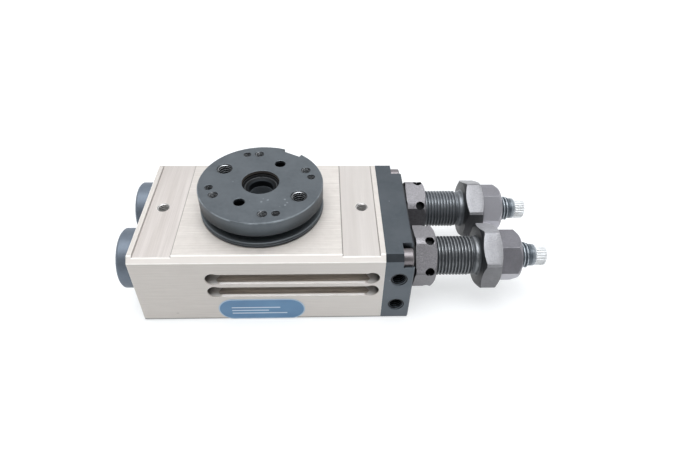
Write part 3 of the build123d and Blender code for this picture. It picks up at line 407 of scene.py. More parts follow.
        # middle bore, painted light and shade: a lit warm wall at the top, then a dark band as the shade of a turned
        # groove, a paler ring and the dark seat
        well = g.math("MULTIPLY", g.remap(r, 0.00553, 0.00558, 1, 0), g.remap(z, hi.z - 0.00006, hi.z - 0.00014, 0, 1))
        tone = g.mix(g.remap(z, hi.z - 0.00085, hi.z - 0.00095, 0, 1), srgb(132, 126, 120), srgb(26, 27, 28))
        tone = g.mix(g.remap(z, hi.z - 0.00120, hi.z - 0.00130, 0, 1), tone, srgb(112, 112, 112))
        tone = g.mix(g.remap(z, hi.z - 0.00170, hi.z - 0.00178, 0, 1), tone, srgb(30, 32, 34))
        ring = g.math("MULTIPLY", band(g, r, 0.00462, 0.00484, 0.00005), 0.7)
        tone = g.mix(ring, tone, srgb(96, 98, 100))
        tone = g.mix(g.remap(r, 0.00405, 0.00385, 0, 1), tone, srgb(40, 44, 48))
        base = g.mix(well, base, tone)
        # painted shade: the deep plain holes are painted dark inside
        spots = [(m["dims"]["pcd_mm"] / 2 * MM, m["dims"]["hole_r_mm"] * MM) for m in RECORD["mounts"] if m["name"] == "table_pin_holes"]
        deep = g.math("MULTIPLY", wall, g.math("MULTIPLY", band(g, r, spots[0][0] - spots[0][1] * 1.1, spots[0][0] + spots[0][1] * 1.02, 0.00002), g.remap(z, hi.z - 0.0005, hi.z - 0.0010, 0, 1)))
        base = g.mix(deep, base, srgb(26, 29, 32))
        shade = g.math("MAXIMUM", shade, g.math("MAXIMUM", well, deep))
        rough0, rough1 = g.math("ADD", g.math("MULTIPLY", shade, 0.12), rough0), g.math("ADD", g.math("MULTIPLY", shade, 0.12), rough1)
    rough = g.math("ADD", g.remap(mid, 0.3, 0.7, rough0, rough1), g.math("MULTIPLY", fine, 0.05))
    bump = g.bump(fine, 0.30, 0.012, g.rounded(0.10))
    bump = g.bump(mid, 0.08, 0.04, bump)
    return g.set(color=base, metallic=metallic, roughness=rough, normal=bump, specular=0.5)


def mat_steel(name, low, high, rough0, rough1, grain=0.5, metallic=0.85, seed=0.0, side=None, wear_and_highlight_gain=0.5, pinholes=False, wear_and_highlight_mm=0.14, lit=0.0):
    """Burnished steel with a fine grain. side names the stop it sits on, for the painted shade in its sheltered
    places.
    """
    g = Graph(name)
    x, y, z = g.xyz()
    nx, ny, nz = g.normal_xyz()
    broad = g.noise(g.scaled(180, 180, 180, (seed, 5, 1)), 1.0, 3.0, 0.55)
    mid = g.noise(g.scaled(1500, 1500, 1500, (2, seed, 1)), 1.0, 4.0, 0.65)
    fine = g.noise(g.scaled(4200, 4200, 4200, (seed, 9, 2)), 1.0, 3.0, 0.65)
    base = g.mix(g.remap(broad, 0.35, 0.65, 0, 1), low, high)
    base = g.mix(g.remap(fine, 0.42, 0.66, 0, grain), base, tuple(min(1, c * 1.6 + 0.02) for c in high))
    base = g.mix(g.remap(fine, 0.56, 0.36, 0, grain), base, tuple(c * 0.55 for c in low))
    # painted reflection: faces turned to the bench are painted lighter, like the bright floor they mirror; with lit,
    # front faces get painted light
    base = g.mix(g.remap(nz, -0.15, -0.40, 0, 0.85), base, tuple(min(1, c * 1.75) for c in high))
    if lit:
        base = g.mix(g.math("MULTIPLY", g.remap(ny, -0.60, -0.85, 0, lit), g.remap(nz, 0.10, 0.25, 0, 1)), base, srgb(206, 206, 212))
    # painted shade: faces turned straight up are painted a little darker
    base = g.mix(g.remap(nz, 0.75, 0.95, 0, 0.20), base, tuple(c * 0.55 for c in low))
    # abraded edges and painted highlight: edges and corners are painted pale
    wear_and_highlight = g.edge_wear_and_highlight(wear_and_highlight_mm, 5.0)
    base = g.mix(g.math("MULTIPLY", wear_and_highlight, wear_and_highlight_gain), base, srgb(214, 214, 218))
    # painted shade: the conical face towards the body is painted near black, and so, in part, are faces turned to the
    # front and not up, most of all on the rear stop, where they face the neighbouring stop
    sheltered_shade = g.remap(nx, -0.24, -0.50, 0, 0.95)
    if side == "rear":
        hidden = g.math("MULTIPLY", g.remap(nz, 0.42, 0.22, 0, 0.84), g.remap(ny, -0.05, -0.30, 0, 1))
        sheltered_shade = g.math("MAXIMUM", sheltered_shade, hidden)
    if side == "front":
        under = g.math("MULTIPLY", g.remap(nz, 0.35, 0.15, 0, 0.50), g.remap(ny, -0.05, -0.30, 0, 1))
        sheltered_shade = g.math("MAXIMUM", sheltered_shade, under)
    base = g.mix(sheltered_shade, base, srgb(22, 25, 28))
    # painted shade: darker in corners and recesses, from ambient occlusion
    base = g.mix(g.crevice(1.0, 0.62, 0.30, 0.8), base, srgb(20, 22, 24))
    if pinholes and side:
        cy, cz = AXIS_Y[side] * MM, AXIS_Z * MM
        u, v = g.math("SUBTRACT", y, cy), g.math("SUBTRACT", z, cz)
        r = g.math("SQRT", g.math("ADD", g.math("MULTIPLY", u, u), g.math("MULTIPLY", v, v)))
        hole = g.math("MULTIPLY", g.remap(r, 0.00846, 0.00849, 1, 0), band(g, x, 0.0482, 0.0512, 0.00002))
        # nearer the corners the mouth of each hole stands higher
        slope = g.remap(g.math("ABSOLUTE", nx), 0.05, 0.2, 0, 1)
        hole = g.math("MAXIMUM", hole, g.math("MULTIPLY", g.math("MULTIPLY", slope, g.remap(r, 0.0092, 0.0093, 1, 0)), band(g, x, 0.04835, 0.05105, 0.00002)))
        # painted shade: the pin holes are painted near black inside
        base = g.mix(hole, base, srgb(16, 17, 19))
    rough = g.remap(mid, 0.3, 0.7, rough0, rough1)
    bump = g.bump(fine, 0.3 * grain + 0.08, 0.03, g.rounded(0.09))
    return g.set(color=base, metallic=metallic, roughness=rough, normal=bump, specular=0.5)


def mat_thread(name, root, crest, rough0, rough1, metallic=0.9, seed=0.0, side=None):
    """Rolled thread: the vertex attribute 'crest' is 1 on the ridges and 0 in the grooves. side names the stop, whose
    underside is painted darker as painted shade.
    """
    g = Graph(name)
    crest_f = g.attribute("crest")
    mid = g.noise(g.scaled(1200, 1200, 1200, (seed, 2, 9)), 1.0, 4.0, 0.6)
    fine = g.noise(g.scaled(7000, 7000, 7000, (3, seed, 2)), 1.0, 2.0, 0.5)
    top = g.remap(crest_f, 0.55, 0.98, 0, 1, smooth=True)
    base = g.mix(g.remap(mid, 0.3, 0.7, 0, 1), root, tuple(c * 1.35 for c in root))
    # painted highlight and abraded crests: the crests are painted lighter than the roots, patchily
    crest_highlight_and_wear = g.math("MULTIPLY", top, g.remap(mid, 0.25, 0.6, 0.45, 1.0))
    base = g.mix(crest_highlight_and_wear, base, crest)
    if side:
        # painted shade: the lower side of the thread, turned to the front, is painted darker
        x, y, z = g.xyz()
        v = g.math("SUBTRACT", z, AXIS_Z * MM)
        underside_shade = g.remap(v, 0.0020, -0.0030, 0, 0.45) if side == "front" else g.remap(v, 0.0030, -0.0024, 0, 0.82)
        facing = g.remap(g.math("SUBTRACT", y, AXIS_Y[side] * MM), 0.001, -0.002, 0, 1)
        base = g.mix(g.math("MULTIPLY", underside_shade, facing), base, srgb(44, 48, 52))
    rough = g.math("SUBTRACT", g.remap(mid, 0.3, 0.7, rough0, rough1), g.math("MULTIPLY", top, 0.10))
    bump = g.bump(fine, 0.15, 0.015)
    return g.set(color=base, metallic=metallic, roughness=rough, normal=bump, specular=0.5)


def mat_rubber(name, col, rough=0.62):
    g = Graph(name)
    n = g.noise(g.scaled(2500, 2500, 2500), 1.0, 3.0, 0.6)
    b = g.noise(g.scaled(300, 300, 300), 1.0, 2.0, 0.5)
    base = g.mix(g.remap(b, 0.3, 0.7, 0, 1), col, tuple(c * 1.6 + 0.003 for c in col))
    return g.set(color=base, metallic=0.0, roughness=g.remap(n, 0.3, 0.7, rough - 0.08, rough + 0.1),
                 normal=g.bump(n, 0.25, 0.02, g.rounded(0.1)), specular=0.35)


def mat_plain_metal(name, col, rough, metallic=1.0, seed=0.0, lay=(600, 600, 600)):
    g = Graph(name)
    n = g.noise(g.scaled(*lay, offset=(seed, 0, 2)), 1.0, 4.0, 0.6)
    f = g.noise(g.scaled(6000, 6000, 6000, (seed, 3, 3)), 1.0, 2.0, 0.5)
    base = g.mix(g.remap(n, 0.3, 0.7, 0, 1), tuple(c * 0.85 for c in col), tuple(min(1, c * 1.08) for c in col))
    # abraded edges and painted highlight: edges are painted paler
    wear_and_highlight = g.edge_wear_and_highlight(0.1, 4.0)
    base = g.mix(g.math("MULTIPLY", wear_and_highlight, 0.3), base, tuple(min(1, c * 1.5 + 0.05) for c in col))
    return g.set(color=base, metallic=metallic, roughness=g.remap(n, 0.3, 0.7, max(0.05, rough - 0.06), rough + 0.08),
                 normal=g.bump(f, 0.12, 0.012, g.rounded(0.07)))


def mat_shaft(name):
    """Ground steel whose bore is painted dark, dull and less metallic, as painted shade down the hollow shaft."""
    g = Graph(name)
    x, y, z = g.xyz()
    r = g.math("SQRT", g.math("ADD", g.math("MULTIPLY", x, x), g.math("MULTIPLY", y, y)))
    n = g.noise(g.scaled(500, 500, 2500), 1.0, 4.0, 0.6)
    f = g.noise(g.scaled(6000, 6000, 6000), 1.0, 2.0, 0.5)
    # painted shade: the bore is painted dark
    dark = g.remap(r, 0.00505, 0.00515, 1, 0)
    base = g.mix(g.remap(n, 0.3, 0.7, 0, 1), srgb(186, 186, 188), srgb(206, 206, 208))
    base = g.mix(dark, base, g.mix(g.remap(n, 0.3, 0.7, 0, 1), srgb(96, 102, 108), srgb(110, 116, 122)))
    # abraded edges and painted highlight: edges outside the bore are painted paler
    wear_and_highlight = g.edge_wear_and_highlight(0.1, 4.0)
    base = g.mix(g.math("MULTIPLY", g.math("MULTIPLY", wear_and_highlight, 0.3), g.math("SUBTRACT", 1.0, dark)), base, srgb(226, 226, 228))
    rough = g.math("ADD", g.remap(n, 0.3, 0.7, 0.22, 0.32), g.math("MULTIPLY", dark, 0.4))
    return g.set(color=base, metallic=g.math("SUBTRACT", 0.9, g.math("MULTIPLY", dark, 0.8)), roughness=rough, normal=g.bump(f, 0.12, 0.012, g.rounded(0.07)))


M = {}
M["anodised_housing"] = mat_housing()
M["dark_anodise"] = mat_dark_anodise("dark_anodise", srgb(96, 102, 107), srgb(107, 113, 118), 0.40, 0.50, 1.3)
M["table_anodise"] = mat_dark_anodise("table_anodise", srgb(94, 100, 105), srgb(105, 111, 116), 0.38, 0.48, 1.3, table=True)
M["plate_anodise"] = mat_dark_anodise("plate_anodise", srgb(88, 95, 101), srgb(98, 104, 110), 0.40, 0.50, 4.1, plate=True)
M["dark_cap"] = mat_dark_anodise("dark_cap", srgb(101, 110, 121), srgb(114, 124, 136), 0.42, 0.52, 7.7, metallic=0.58)
for _side in ("front", "rear"):
    # painted light and shade: the rear stop's hex is painted a little darker and its nut lighter than the front's, and
    # the rear nut's front faces get painted light
    _k = 0.94 if _side == "rear" else 1.0
    M["hex_steel_" + _side] = mat_steel("hex_steel_" + _side, srgb(148 * _k, 148 * _k, 151 * _k), srgb(162 * _k, 162 * _k, 166 * _k), 0.36, 0.46, 0.40, 0.45, 2.0, _side, 0.8, wear_and_highlight_mm=0.20)
    M["collar_steel_" + _side] = mat_steel("collar_steel_" + _side, srgb(134, 132, 135), srgb(148, 146, 150), 0.36, 0.46, 0.60, 0.45, 6.0, _side, 0.6, True)
    _n = 1.12 if _side == "rear" else 1.02
    M["nut_steel_" + _side] = mat_steel("nut_steel_" + _side, srgb(122 * _n, 121 * _n, 126 * _n), srgb(134 * _n, 133 * _n, 139 * _n), 0.34, 0.44, 0.22, 0.5, 3.0, None, 1.0, wear_and_highlight_mm=0.24, lit=0.62 if _side == "rear" else 0.0)
M["burnished_steel"] = M["hex_steel_front"]
# painted light and shade: the front and rear threads are toned apart, the rear one with flatter contrast and more
# shade underneath
M["thread_front"] = mat_thread("thread_front", srgb(82, 85, 88), srgb(143, 146, 149), 0.38, 0.48, 0.6, side="front")
M["thread_rear"] = mat_thread("thread_rear", srgb(104, 108, 112), srgb(136, 140, 145), 0.40, 0.50, 0.6, seed=2.0, side="rear")
M["thread_steel"] = M["thread_front"]
M["blackened_steel"] = mat_thread("blackened_steel", srgb(80, 88, 95), srgb(192, 199, 206), 0.30, 0.40, 0.35, seed=5.0)
M["bright_knob"] = mat_plain_metal("bright_knob", srgb(239, 241, 242), 0.30, 0.25, 2.0)
M["screw_steel"] = mat_plain_metal("screw_steel", srgb(130, 125, 127), 0.36, 0.6, 4.0, (300, 900, 900))
M["bearing_steel"] = mat_plain_metal("bearing_steel", srgb(205, 205, 206), 0.22, 1.0, 6.0)
M["spring_steel"] = mat_plain_metal("spring_steel", srgb(120, 120, 122), 0.30, 1.0, 8.0)
M["seal_rubber"] = mat_rubber("seal_rubber", srgb(30, 31, 33))
M["magnet"] = mat_rubber("magnet", srgb(52, 52, 56), 0.5)
M["guide_plastic"] = mat_rubber("guide_plastic", srgb(176, 150, 110), 0.5)
# painted light and shade: the tapped holes' threads get near-white crests as painted highlight, the air ports' threads
# are painted dark as painted shade
M["hole_thread"] = mat_thread("hole_thread", srgb(44, 47, 50), srgb(216, 219, 222), 0.24, 0.32, 0.6, seed=8.0)
M["port_thread"] = mat_thread("port_thread", srgb(16, 20, 24), srgb(70, 78, 86), 0.34, 0.44, 0.6, seed=8.5)
M["housing_thread"] = mat_thread("housing_thread", srgb(150, 148, 146), srgb(250, 249, 247), 0.26, 0.34, 0.5, seed=9.0)
M["shaft_bore"] = mat_shaft("shaft_bore")


def mat_label():
    """Plain blue film: thin pale border and blank bars, drawn by position only."""
    g = Graph("label_blue")
    lo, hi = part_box("name_label")
    cx, cz = (lo.x + hi.x) / 2, (lo.z + hi.z) / 2
    hw, hh = (hi.x - lo.x) / 2, (hi.z - lo.z) / 2
    x, y, z = g.xyz()
    u = g.math("SUBTRACT", x, cx)
    v = g.math("SUBTRACT", z, cz)
    # distance to the stadium's edge
    au = g.math("MAXIMUM", g.math("SUBTRACT", g.math("ABSOLUTE", u), hw - hh), 0.0)
    d = g.math("SQRT", g.math("ADD", g.math("MULTIPLY", au, au), g.math("MULTIPLY", v, v)))
    edge = g.remap(d, hh - 0.00042, hh - 0.00032, 0, 1)
    broad = g.noise(g.scaled(160, 160, 160), 1.0, 3.0, 0.5)
    fine = g.noise(g.scaled(5200, 5200, 5200), 1.0, 2.0, 0.5)
    blue = g.mix(g.remap(broad, 0.3, 0.7, 0, 1), srgb(76, 123, 164), srgb(89, 136, 175))

    def bar(u0, u1, v0, v1, soft=0.00008):
        a = g.math("MULTIPLY", g.remap(u, (u0 - soft), (u0 + soft), 0, 1), g.remap(u, (u1 - soft), (u1 + soft), 1, 0))
        b = g.math("MULTIPLY", g.remap(v, (v0 - soft), (v0 + soft), 0, 1), g.remap(v, (v1 - soft), (v1 + soft), 1, 0))
        return g.math("MULTIPLY", a, b)

    k = 0.001
    marks = None
    for b in ((-9.0 * k, 5.5 * k, 0.55 * k, 0.95 * k), (-9.0 * k, 2.0 * k, -0.75 * k, -0.35 * k), (-9.0 * k, 7.5 * k, -2.0 * k, -1.6 * k)):
        one = bar(*b)
        marks = one if marks is None else g.math("MAXIMUM", marks, one)
    col = g.mix(g.math("MULTIPLY", marks, 0.85), blue, srgb(214, 228, 238))
    col = g.mix(g.math("MULTIPLY", edge, 0.7), col, srgb(196, 214, 228))
    rough = g.remap(broad, 0.3, 0.7, 0.30, 0.40)
    return g.set(color=col, metallic=0.0, roughness=rough, normal=g.bump(fine, 0.10, 0.012, g.rounded(0.06)), specular=0.5, coat=0.25, coat_rough=0.25)


M["label_blue"] = mat_label()

SLOT_TO_MAT = {s: M.get(s, M["bearing_steel"]) for s in {p["material_slot"] for p in RECORD["subparts"]}}
for part in RECORD["subparts"]:
    node = NODES[part["node"]]
    mat = SLOT_TO_MAT[part["material_slot"]]
    mat = {"end_plate": M["plate_anodise"], "turntable": M["table_anodise"], "pinion_shaft": M["shaft_bore"], "front_absorber_nut": M["nut_steel_front"],
           "rear_absorber_nut": M["nut_steel_rear"], "front_stop_locknut": M["collar_steel_front"], "rear_stop_locknut": M["collar_steel_rear"]}.get(part["node"], mat)
    node.data.materials.clear()
    node.data.materials.append(mat)
    for poly in node.data.polygons:
        poly.material_index = 0

# ----------------------------------------------------------------------------
# Mesh helpers: every new piece is a polar loft, with its corners on grid lines
# ----------------------------------------------------------------------------
COLLAR_DEG = {"front": 13.2, "rear": -14.1}
HEX_DEG = {"front": 27.0, "rear": 30.7}
NUT_DEG = {"front": 0.6, "rear": 9.4}
SHIFT = {s: round(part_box(s + "_absorber_knob")[1].x / MM - 87.0, 3) for s in ("front", "rear")}


def finish_mesh(me, angle=32.0):
    me.polygons.foreach_set("use_smooth", [True] * len(me.polygons))
    me.set_sharp_from_angle(angle=math.radians(angle))
    me.update()


def new_object(name, bm_or_mesh, material, angle=32.0):
    if isinstance(bm_or_mesh, bmesh.types.BMesh):
        me = bpy.data.meshes.new(name)
        bm_or_mesh.to_mesh(me)
        bm_or_mesh.free()
    else:
        me = bm_or_mesh
        me.name = name
    finish_mesh(me, angle)
    obj = bpy.data.objects.new(name, me)
    bpy.context.scene.collection.objects.link(obj)
    me.materials.clear()
    me.materials.append(material)
    return obj


def polar_loft(rows, thetas, place, closed=False, crest=None, bevel=None):
    """Skin over rows of radii.

    rows: list of (s, r) where s is the place along the axis and r a number or an array over thetas; s may be an
    array too. place(s, r, theta) gives the point. A row whose radii are all zero closes the skin at the axis.
    bevel: not used.
    """
    n = len(thetas)
    bm = bmesh.new()
    layer = bm.verts.layers.float.new("crest") if crest is not None else None
    grid = []
    for i, (s, r) in enumerate(rows):
        s_arr = np.broadcast_to(np.asarray(s, float), (n,))
        r_arr = np.broadcast_to(np.asarray(r, float), (n,))
        if np.all(r_arr < 1e-9):
            v = bm.verts.new(place(float(s_arr[0]), 0.0, 0.0))
            if layer is not None:
                v[layer] = float(np.mean(crest[i]))
            grid.append([v] * n)
            continue
        line = []
        for j in range(n):
            v = bm.verts.new(place(float(s_arr[j]), float(r_arr[j]), float(thetas[j])))
            if layer is not None:
                v[layer] = float(crest[i][j]) if np.ndim(crest[i]) else float(crest[i])
            line.append(v)
        grid.append(line)
    last = len(rows) if closed else len(rows) - 1
    for i in range(last):
        a, b = grid[i], grid[(i + 1) % len(rows)]
        for j in range(n):
            k = (j + 1) % n
            loop = []
            for v in (a[j], a[k], b[k], b[j]):
                if v not in loop:
                    loop.append(v)
            if len(loop) >= 3:
                bm.faces.new(loop)
    bmesh.ops.remove_doubles(bm, verts=bm.verts, dist=2e-7)
    bmesh.ops.dissolve_degenerate(bm, edges=bm.edges, dist=1e-7)
    bmesh.ops.recalc_face_normals(bm, faces=bm.faces)
    return bm


def bevel_sharp(bm, width_mm, segments=2, angle=28.0, keep=None):
    """Rounds the edges of a mesh that turn by more than angle; keep(edge) can leave some out."""
    bm.normal_update()
    lim = math.radians(angle)
    edges = []
    for e in bm.edges:
        if len(e.link_faces) == 2 and e.calc_face_angle(0) > lim and (keep is None or keep(e)):
            edges.append(e)
    if edges:
        bmesh.ops.bevel(bm, geom=edges, offset=width_mm * MM, offset_type="OFFSET", segments=segments, profile=0.6,
                        affect="EDGES", clamp_overlap=True)
    return bm


def along_x(y0, z0):
    def place(s, r, t):
        return (s * MM, (y0 + r * math.cos(t)) * MM, (z0 + r * math.sin(t)) * MM)
    return place


def along_z(x0, y0):
    def place(s, r, t):
        return ((x0 + r * math.cos(t)) * MM, (y0 + r * math.sin(t)) * MM, s * MM)
    return place


def along_y(x0, z0):
    def place(s, r, t):
        return ((x0 + r * math.cos(t)) * MM, s * MM, (z0 + r * math.sin(t)) * MM)
    return place


def hex_columns(corner_deg, flat_half, inner=9, outer=2):
    """Angles round a hexagon, with grid lines on the corners and on the ends of each flat."""
    side = list(np.linspace(-30, -flat_half, outer + 1)[:-1]) if flat_half < 29.9 else []
    side += list(np.linspace(-flat_half, flat_half, inner))
    side += list(np.linspace(flat_half, 30, outer + 1)[1:-1]) if flat_half < 29.9 else []
    if flat_half >= 29.9:
        side = side[:-1]
    out = []
    for k in range(6):
        out += [180.0 - corner_deg + 30.0 + 60.0 * k + p for p in side]
    return np.radians(np.array(out)), np.array(side * 6)


def hex_radius(phi_deg, across, r_max):
    return np.minimum(across / 2 / np.cos(np.radians(phi_deg)), r_max)


def hex_rows(x0, x1, r_hex, r_end_l, r_end_r, slope_l, slope_r, mid=3):
    """Rows from the left end face's rim to the right one's."""
    rl, rr = np.minimum(r_hex, r_end_l), np.minimum(r_hex, r_end_r)
    xl, xr = x0 + (r_hex - rl) * slope_l, x1 - (r_hex - rr) * slope_r
    rows = [(np.full_like(r_hex, x0), rl)]
    for k in range(mid + 1):
        f = k / mid
        rows.append((xl + (xr - xl) * f, r_hex))
    rows.append((np.full_like(r_hex, x1), rr))
    return rows


def thread_form(phase, crest=0.20, root=0.20):
    """Height of a thread from 0 at the root to 1 on the crest, for a phase of 0 to 1."""
    p = np.mod(phase, 1.0)
    d = np.minimum(p, 1.0 - p)          # 0 at the crest's middle, 0.5 at the root's
    h = np.clip((0.5 - root / 2 - d) / (0.5 - root / 2 - crest / 2), 0.0, 1.0)
    return h * h * (3 - 2 * h) * 0.35 + h * 0.65


def helix_rows(x0, x1, thetas, r_root, r_crest, pitch, per_pitch=12, fade_in=0.6, fade_out=0.6, hand=1.0, crest=0.22, root=0.18):
    """Rows of a true helical ridge between x0 and x1, fading at both ends, and how near each point is to the crest."""
    n = max(2, int(round((x1 - x0) / pitch * per_pitch)))
    rows, crests = [], []
    for i in range(n + 1):
        x = x0 + (x1 - x0) * i / n
        env = 1.0
        if fade_in > 0:
            env = min(env, (x - x0) / fade_in)
        if fade_out > 0:
            env = min(env, (x1 - x) / fade_out)
        env = max(0.0, min(1.0, env))
        h = thread_form((x - x0) / pitch - hand * thetas / (2 * math.pi), crest, root) * env
        rows.append((x, r_root + (r_crest - r_root) * h))
        crests.append(h)
    return rows, crests


# ----------------------------------------------------------------------------
# Adjustable stops
# ----------------------------------------------------------------------------
def make_sleeve(side):
    s = SHIFT[side]
    place = along_x(AXIS_Y[side], AXIS_Z)
    flat = math.degrees(math.acos(9.0 / 10.15))
    th, phi = hex_columns(HEX_DEG[side], flat, inner=13, outer=3)
    r_hex = hex_radius(phi, 18.0, 10.15)
    rows = [(34.0 + s, 4.0), (33.15 + s, 4.0), (33.0 + s, 4.15), (33.0 + s, 5.2), (33.3 + s, 5.5), (37.4 + s, 5.5)]
    crest = [0.0] * len(rows)
    t_rows, t_crest = helix_rows(37.7 + s, 63.55 + s, th, 5.42, 6.0, 1.0, 14, 0.8, 0.5)
    rows += t_rows
    crest += t_crest
    tail = [(63.75 + s, 5.45), (63.95 + s, 5.60), (64.15 + s, 5.82), (64.35 + s, 5.94), (64.6 + s, 5.97), (65.0 + s, 5.95),
            (65.25 + s, 5.98), (65.42 + s, 6.12), (65.55 + s, 6.4)]
    rows += tail
    # painted highlight: the relief ring before the hexagon takes crest values, so it is painted in the crests' light
    # colour
    crest += [0.0, 0.1, 0.6, 0.88, 0.95, 0.85, 0.2, 0.0, 0.0]
    body_rows = len(rows)
    rows += hex_rows(65.55 + s, 71.3 + s, r_hex, 8.9, 8.9, 0.55, 0.55, 3)
    crest += [0.0] * 6
    rows += [(71.3 + s, 4.2), (71.1 + s, 4.0), (60.0 + s, 4.0), (45.0 + s, 4.0)]
    crest += [0.0] * 4
    bm = polar_loft(rows, th, place, closed=True, crest=crest)
    x_lim = (65.7 + s) * MM
    bevel_sharp(bm, 0.10, 2, 20.0, keep=lambda e: min(v.co.x for v in e.verts) > (65.53 + s) * MM and
                max(math.hypot(v.co.y - AXIS_Y[side] * MM, v.co.z - AXIS_Z * MM) for v in e.verts) > 8.5 * MM)
    obj = new_object(side + "_threaded_stop_sleeve", bm, M["thread_" + side], 28.0)
    # the hexagon head and its faces take the burnished finish
    obj.data.materials.append(M["hex_steel_" + side])
    for p in obj.data.polygons:
        if p.center.x > (65.5 + s) * MM:
            p.material_index = 1
    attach(obj, side + "_stop")
    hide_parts(side + "_stop_sleeve")


def cylinder_mesh(name, centre, axis, radius, length, n=40):
    """Closed round bar used only to cut holes."""
    bm = bmesh.new()
    bmesh.ops.create_cone(bm, cap_ends=True, segments=n, radius1=radius, radius2=radius, depth=length)
    rot = Vector((0, 0, 1)).rotation_difference(Vector(axis)).to_matrix().to_4x4()
    bmesh.ops.transform(bm, matrix=Matrix.Translation(Vector(centre)) @ rot, verts=bm.verts)
    return bm


def join_bmeshes(parts):
    me = bpy.data.meshes.new("tmp")
    out = bmesh.new()
    for b in parts:
        b.to_mesh(me)
        out.from_mesh(me)
        b.free()
    bpy.data.meshes.remove(me)
    return out


def cut(obj, cutter_bm):
    """Takes the cutter away from obj and keeps the result as obj's mesh."""
    me = bpy.data.meshes.new("cutter")
    cutter_bm.to_mesh(me)
    cutter_bm.free()
    tool = bpy.data.objects.new("cutter", me)
    bpy.context.scene.collection.objects.link(tool)
    m = obj.modifiers.new("cut", "BOOLEAN")
    m.operation, m.solver, m.object = "DIFFERENCE", "EXACT", tool
    dg = bpy.context.evaluated_depsgraph_get()
    new = bpy.data.meshes.new_from_object(obj.evaluated_get(dg))
    old = obj.data
    obj.modifiers.clear()
    obj.data = new
    new.name = obj.name
    bpy.data.meshes.remove(old)
    bpy.data.objects.remove(tool)
    bpy.data.meshes.remove(me)


def make_absorber_body(side):
    s = SHIFT[side]
    place = along_x(AXIS_Y[side], AXIS_Z)
    th = np.linspace(0, 2 * math.pi, 96, endpoint=False)
    rows = [(64.0 + s, 0.0), (64.0 + s, 3.0), (50.0 + s, 3.0), (35.0 + s, 3.0), (35.0 + s, 3.6), (35.3 + s, 3.95), (50.0 + s, 3.95), (77.2 + s, 3.95)]
    crest = [0.0] * len(rows)
    t_rows, t_crest = helix_rows(77.35 + s, 81.75 + s, th, 3.38, 3.97, 1.0, 16, 0.0, 0.7, crest=0.24, root=0.16)
    t_rows[0] = (t_rows[0][0], np.maximum(t_rows[0][1], 3.4))
    rows += t_rows
    crest += t_crest
    tail = [(81.95 + s, 3.38), (82.4 + s, 3.4), (83.15 + s, 3.4), (83.32 + s, 3.33), (83.42 + s, 3.2), (83.45 + s, 3.05), (83.45 + s, 1.25), (81.0 + s, 1.25),
            (79.0 + s, 1.25), (79.0 + s, 0.0)]
    rows += tail
    # painted highlight: the smooth ring after the thread takes crest values, so it is painted in the crests' light
    # colour
    crest += [0.0, 0.72, 0.78, 0.9, 1.0, 0.7, 0.0, 0.0, 0.0, 0.0]
    bm = polar_loft(rows, th, place, crest=crest)
    obj = new_object(side + "_absorber_threaded_body", bm, M["blackened_steel"], 40.0)
    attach(obj, side + "_stop")
    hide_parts(side + "_absorber_body")


def make_knob(side):
    s = SHIFT[side]
    place = along_x(AXIS_Y[side], AXIS_Z)
    flutes, per = 24, 8
    th = np.linspace(0, 2 * math.pi, flutes * per, endpoint=False)
    wave = 0.5 + 0.5 * np.cos(th * flutes)
    groove = np.clip(1.0 - wave * 1.5, 0.0, 1.0)      # 1 in a groove, 0 on the land
    def ring(x, r, depth):
        return (x + s, r - depth * groove)
    rows = [(79.5 + s, 0.0), (79.5 + s, 0.9), (79.7 + s, 1.2), (83.5 + s, 1.2), (83.5 + s, 2.9), ring(83.6, 3.06, 0.05), ring(83.8, 3.24, 0.2),
            ring(83.95, 3.3, 0.3), ring(84.8, 3.3, 0.3), ring(85.6, 3.3, 0.3), ring(86.35, 3.3, 0.3), ring(86.6, 3.22, 0.24), ring(86.8, 3.06, 0.12),
            (86.93 + s, 2.8), (87.0 + s, 2.5), (87.0 + s, 2.0), (87.0 + s, 0.0)]
    bm = polar_loft(rows, th, place)
    obj = new_object(side + "_fluted_knob", bm, M["bright_knob"], 40.0)
    slot = bmesh.new()
    bmesh.ops.create_cube(slot, size=1.0)
    bmesh.ops.transform(slot, matrix=Matrix.Translation(Vector((86.9 + s, AXIS_Y[side], AXIS_Z)) * MM) @
                        Matrix.Rotation(math.radians(35 if side == "front" else -20), 4, "X") @
                        Matrix.Diagonal((1.9 * MM, 3.9 * MM, 0.7 * MM, 1.0)), verts=slot.verts)
    cut(obj, slot)
    finish_mesh(obj.data, 40.0)
    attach(obj, side + "_knob")
    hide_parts(side + "_absorber_knob")


for side in ("front", "rear"):
    make_sleeve(side)
    make_absorber_body(side)
    make_knob(side)


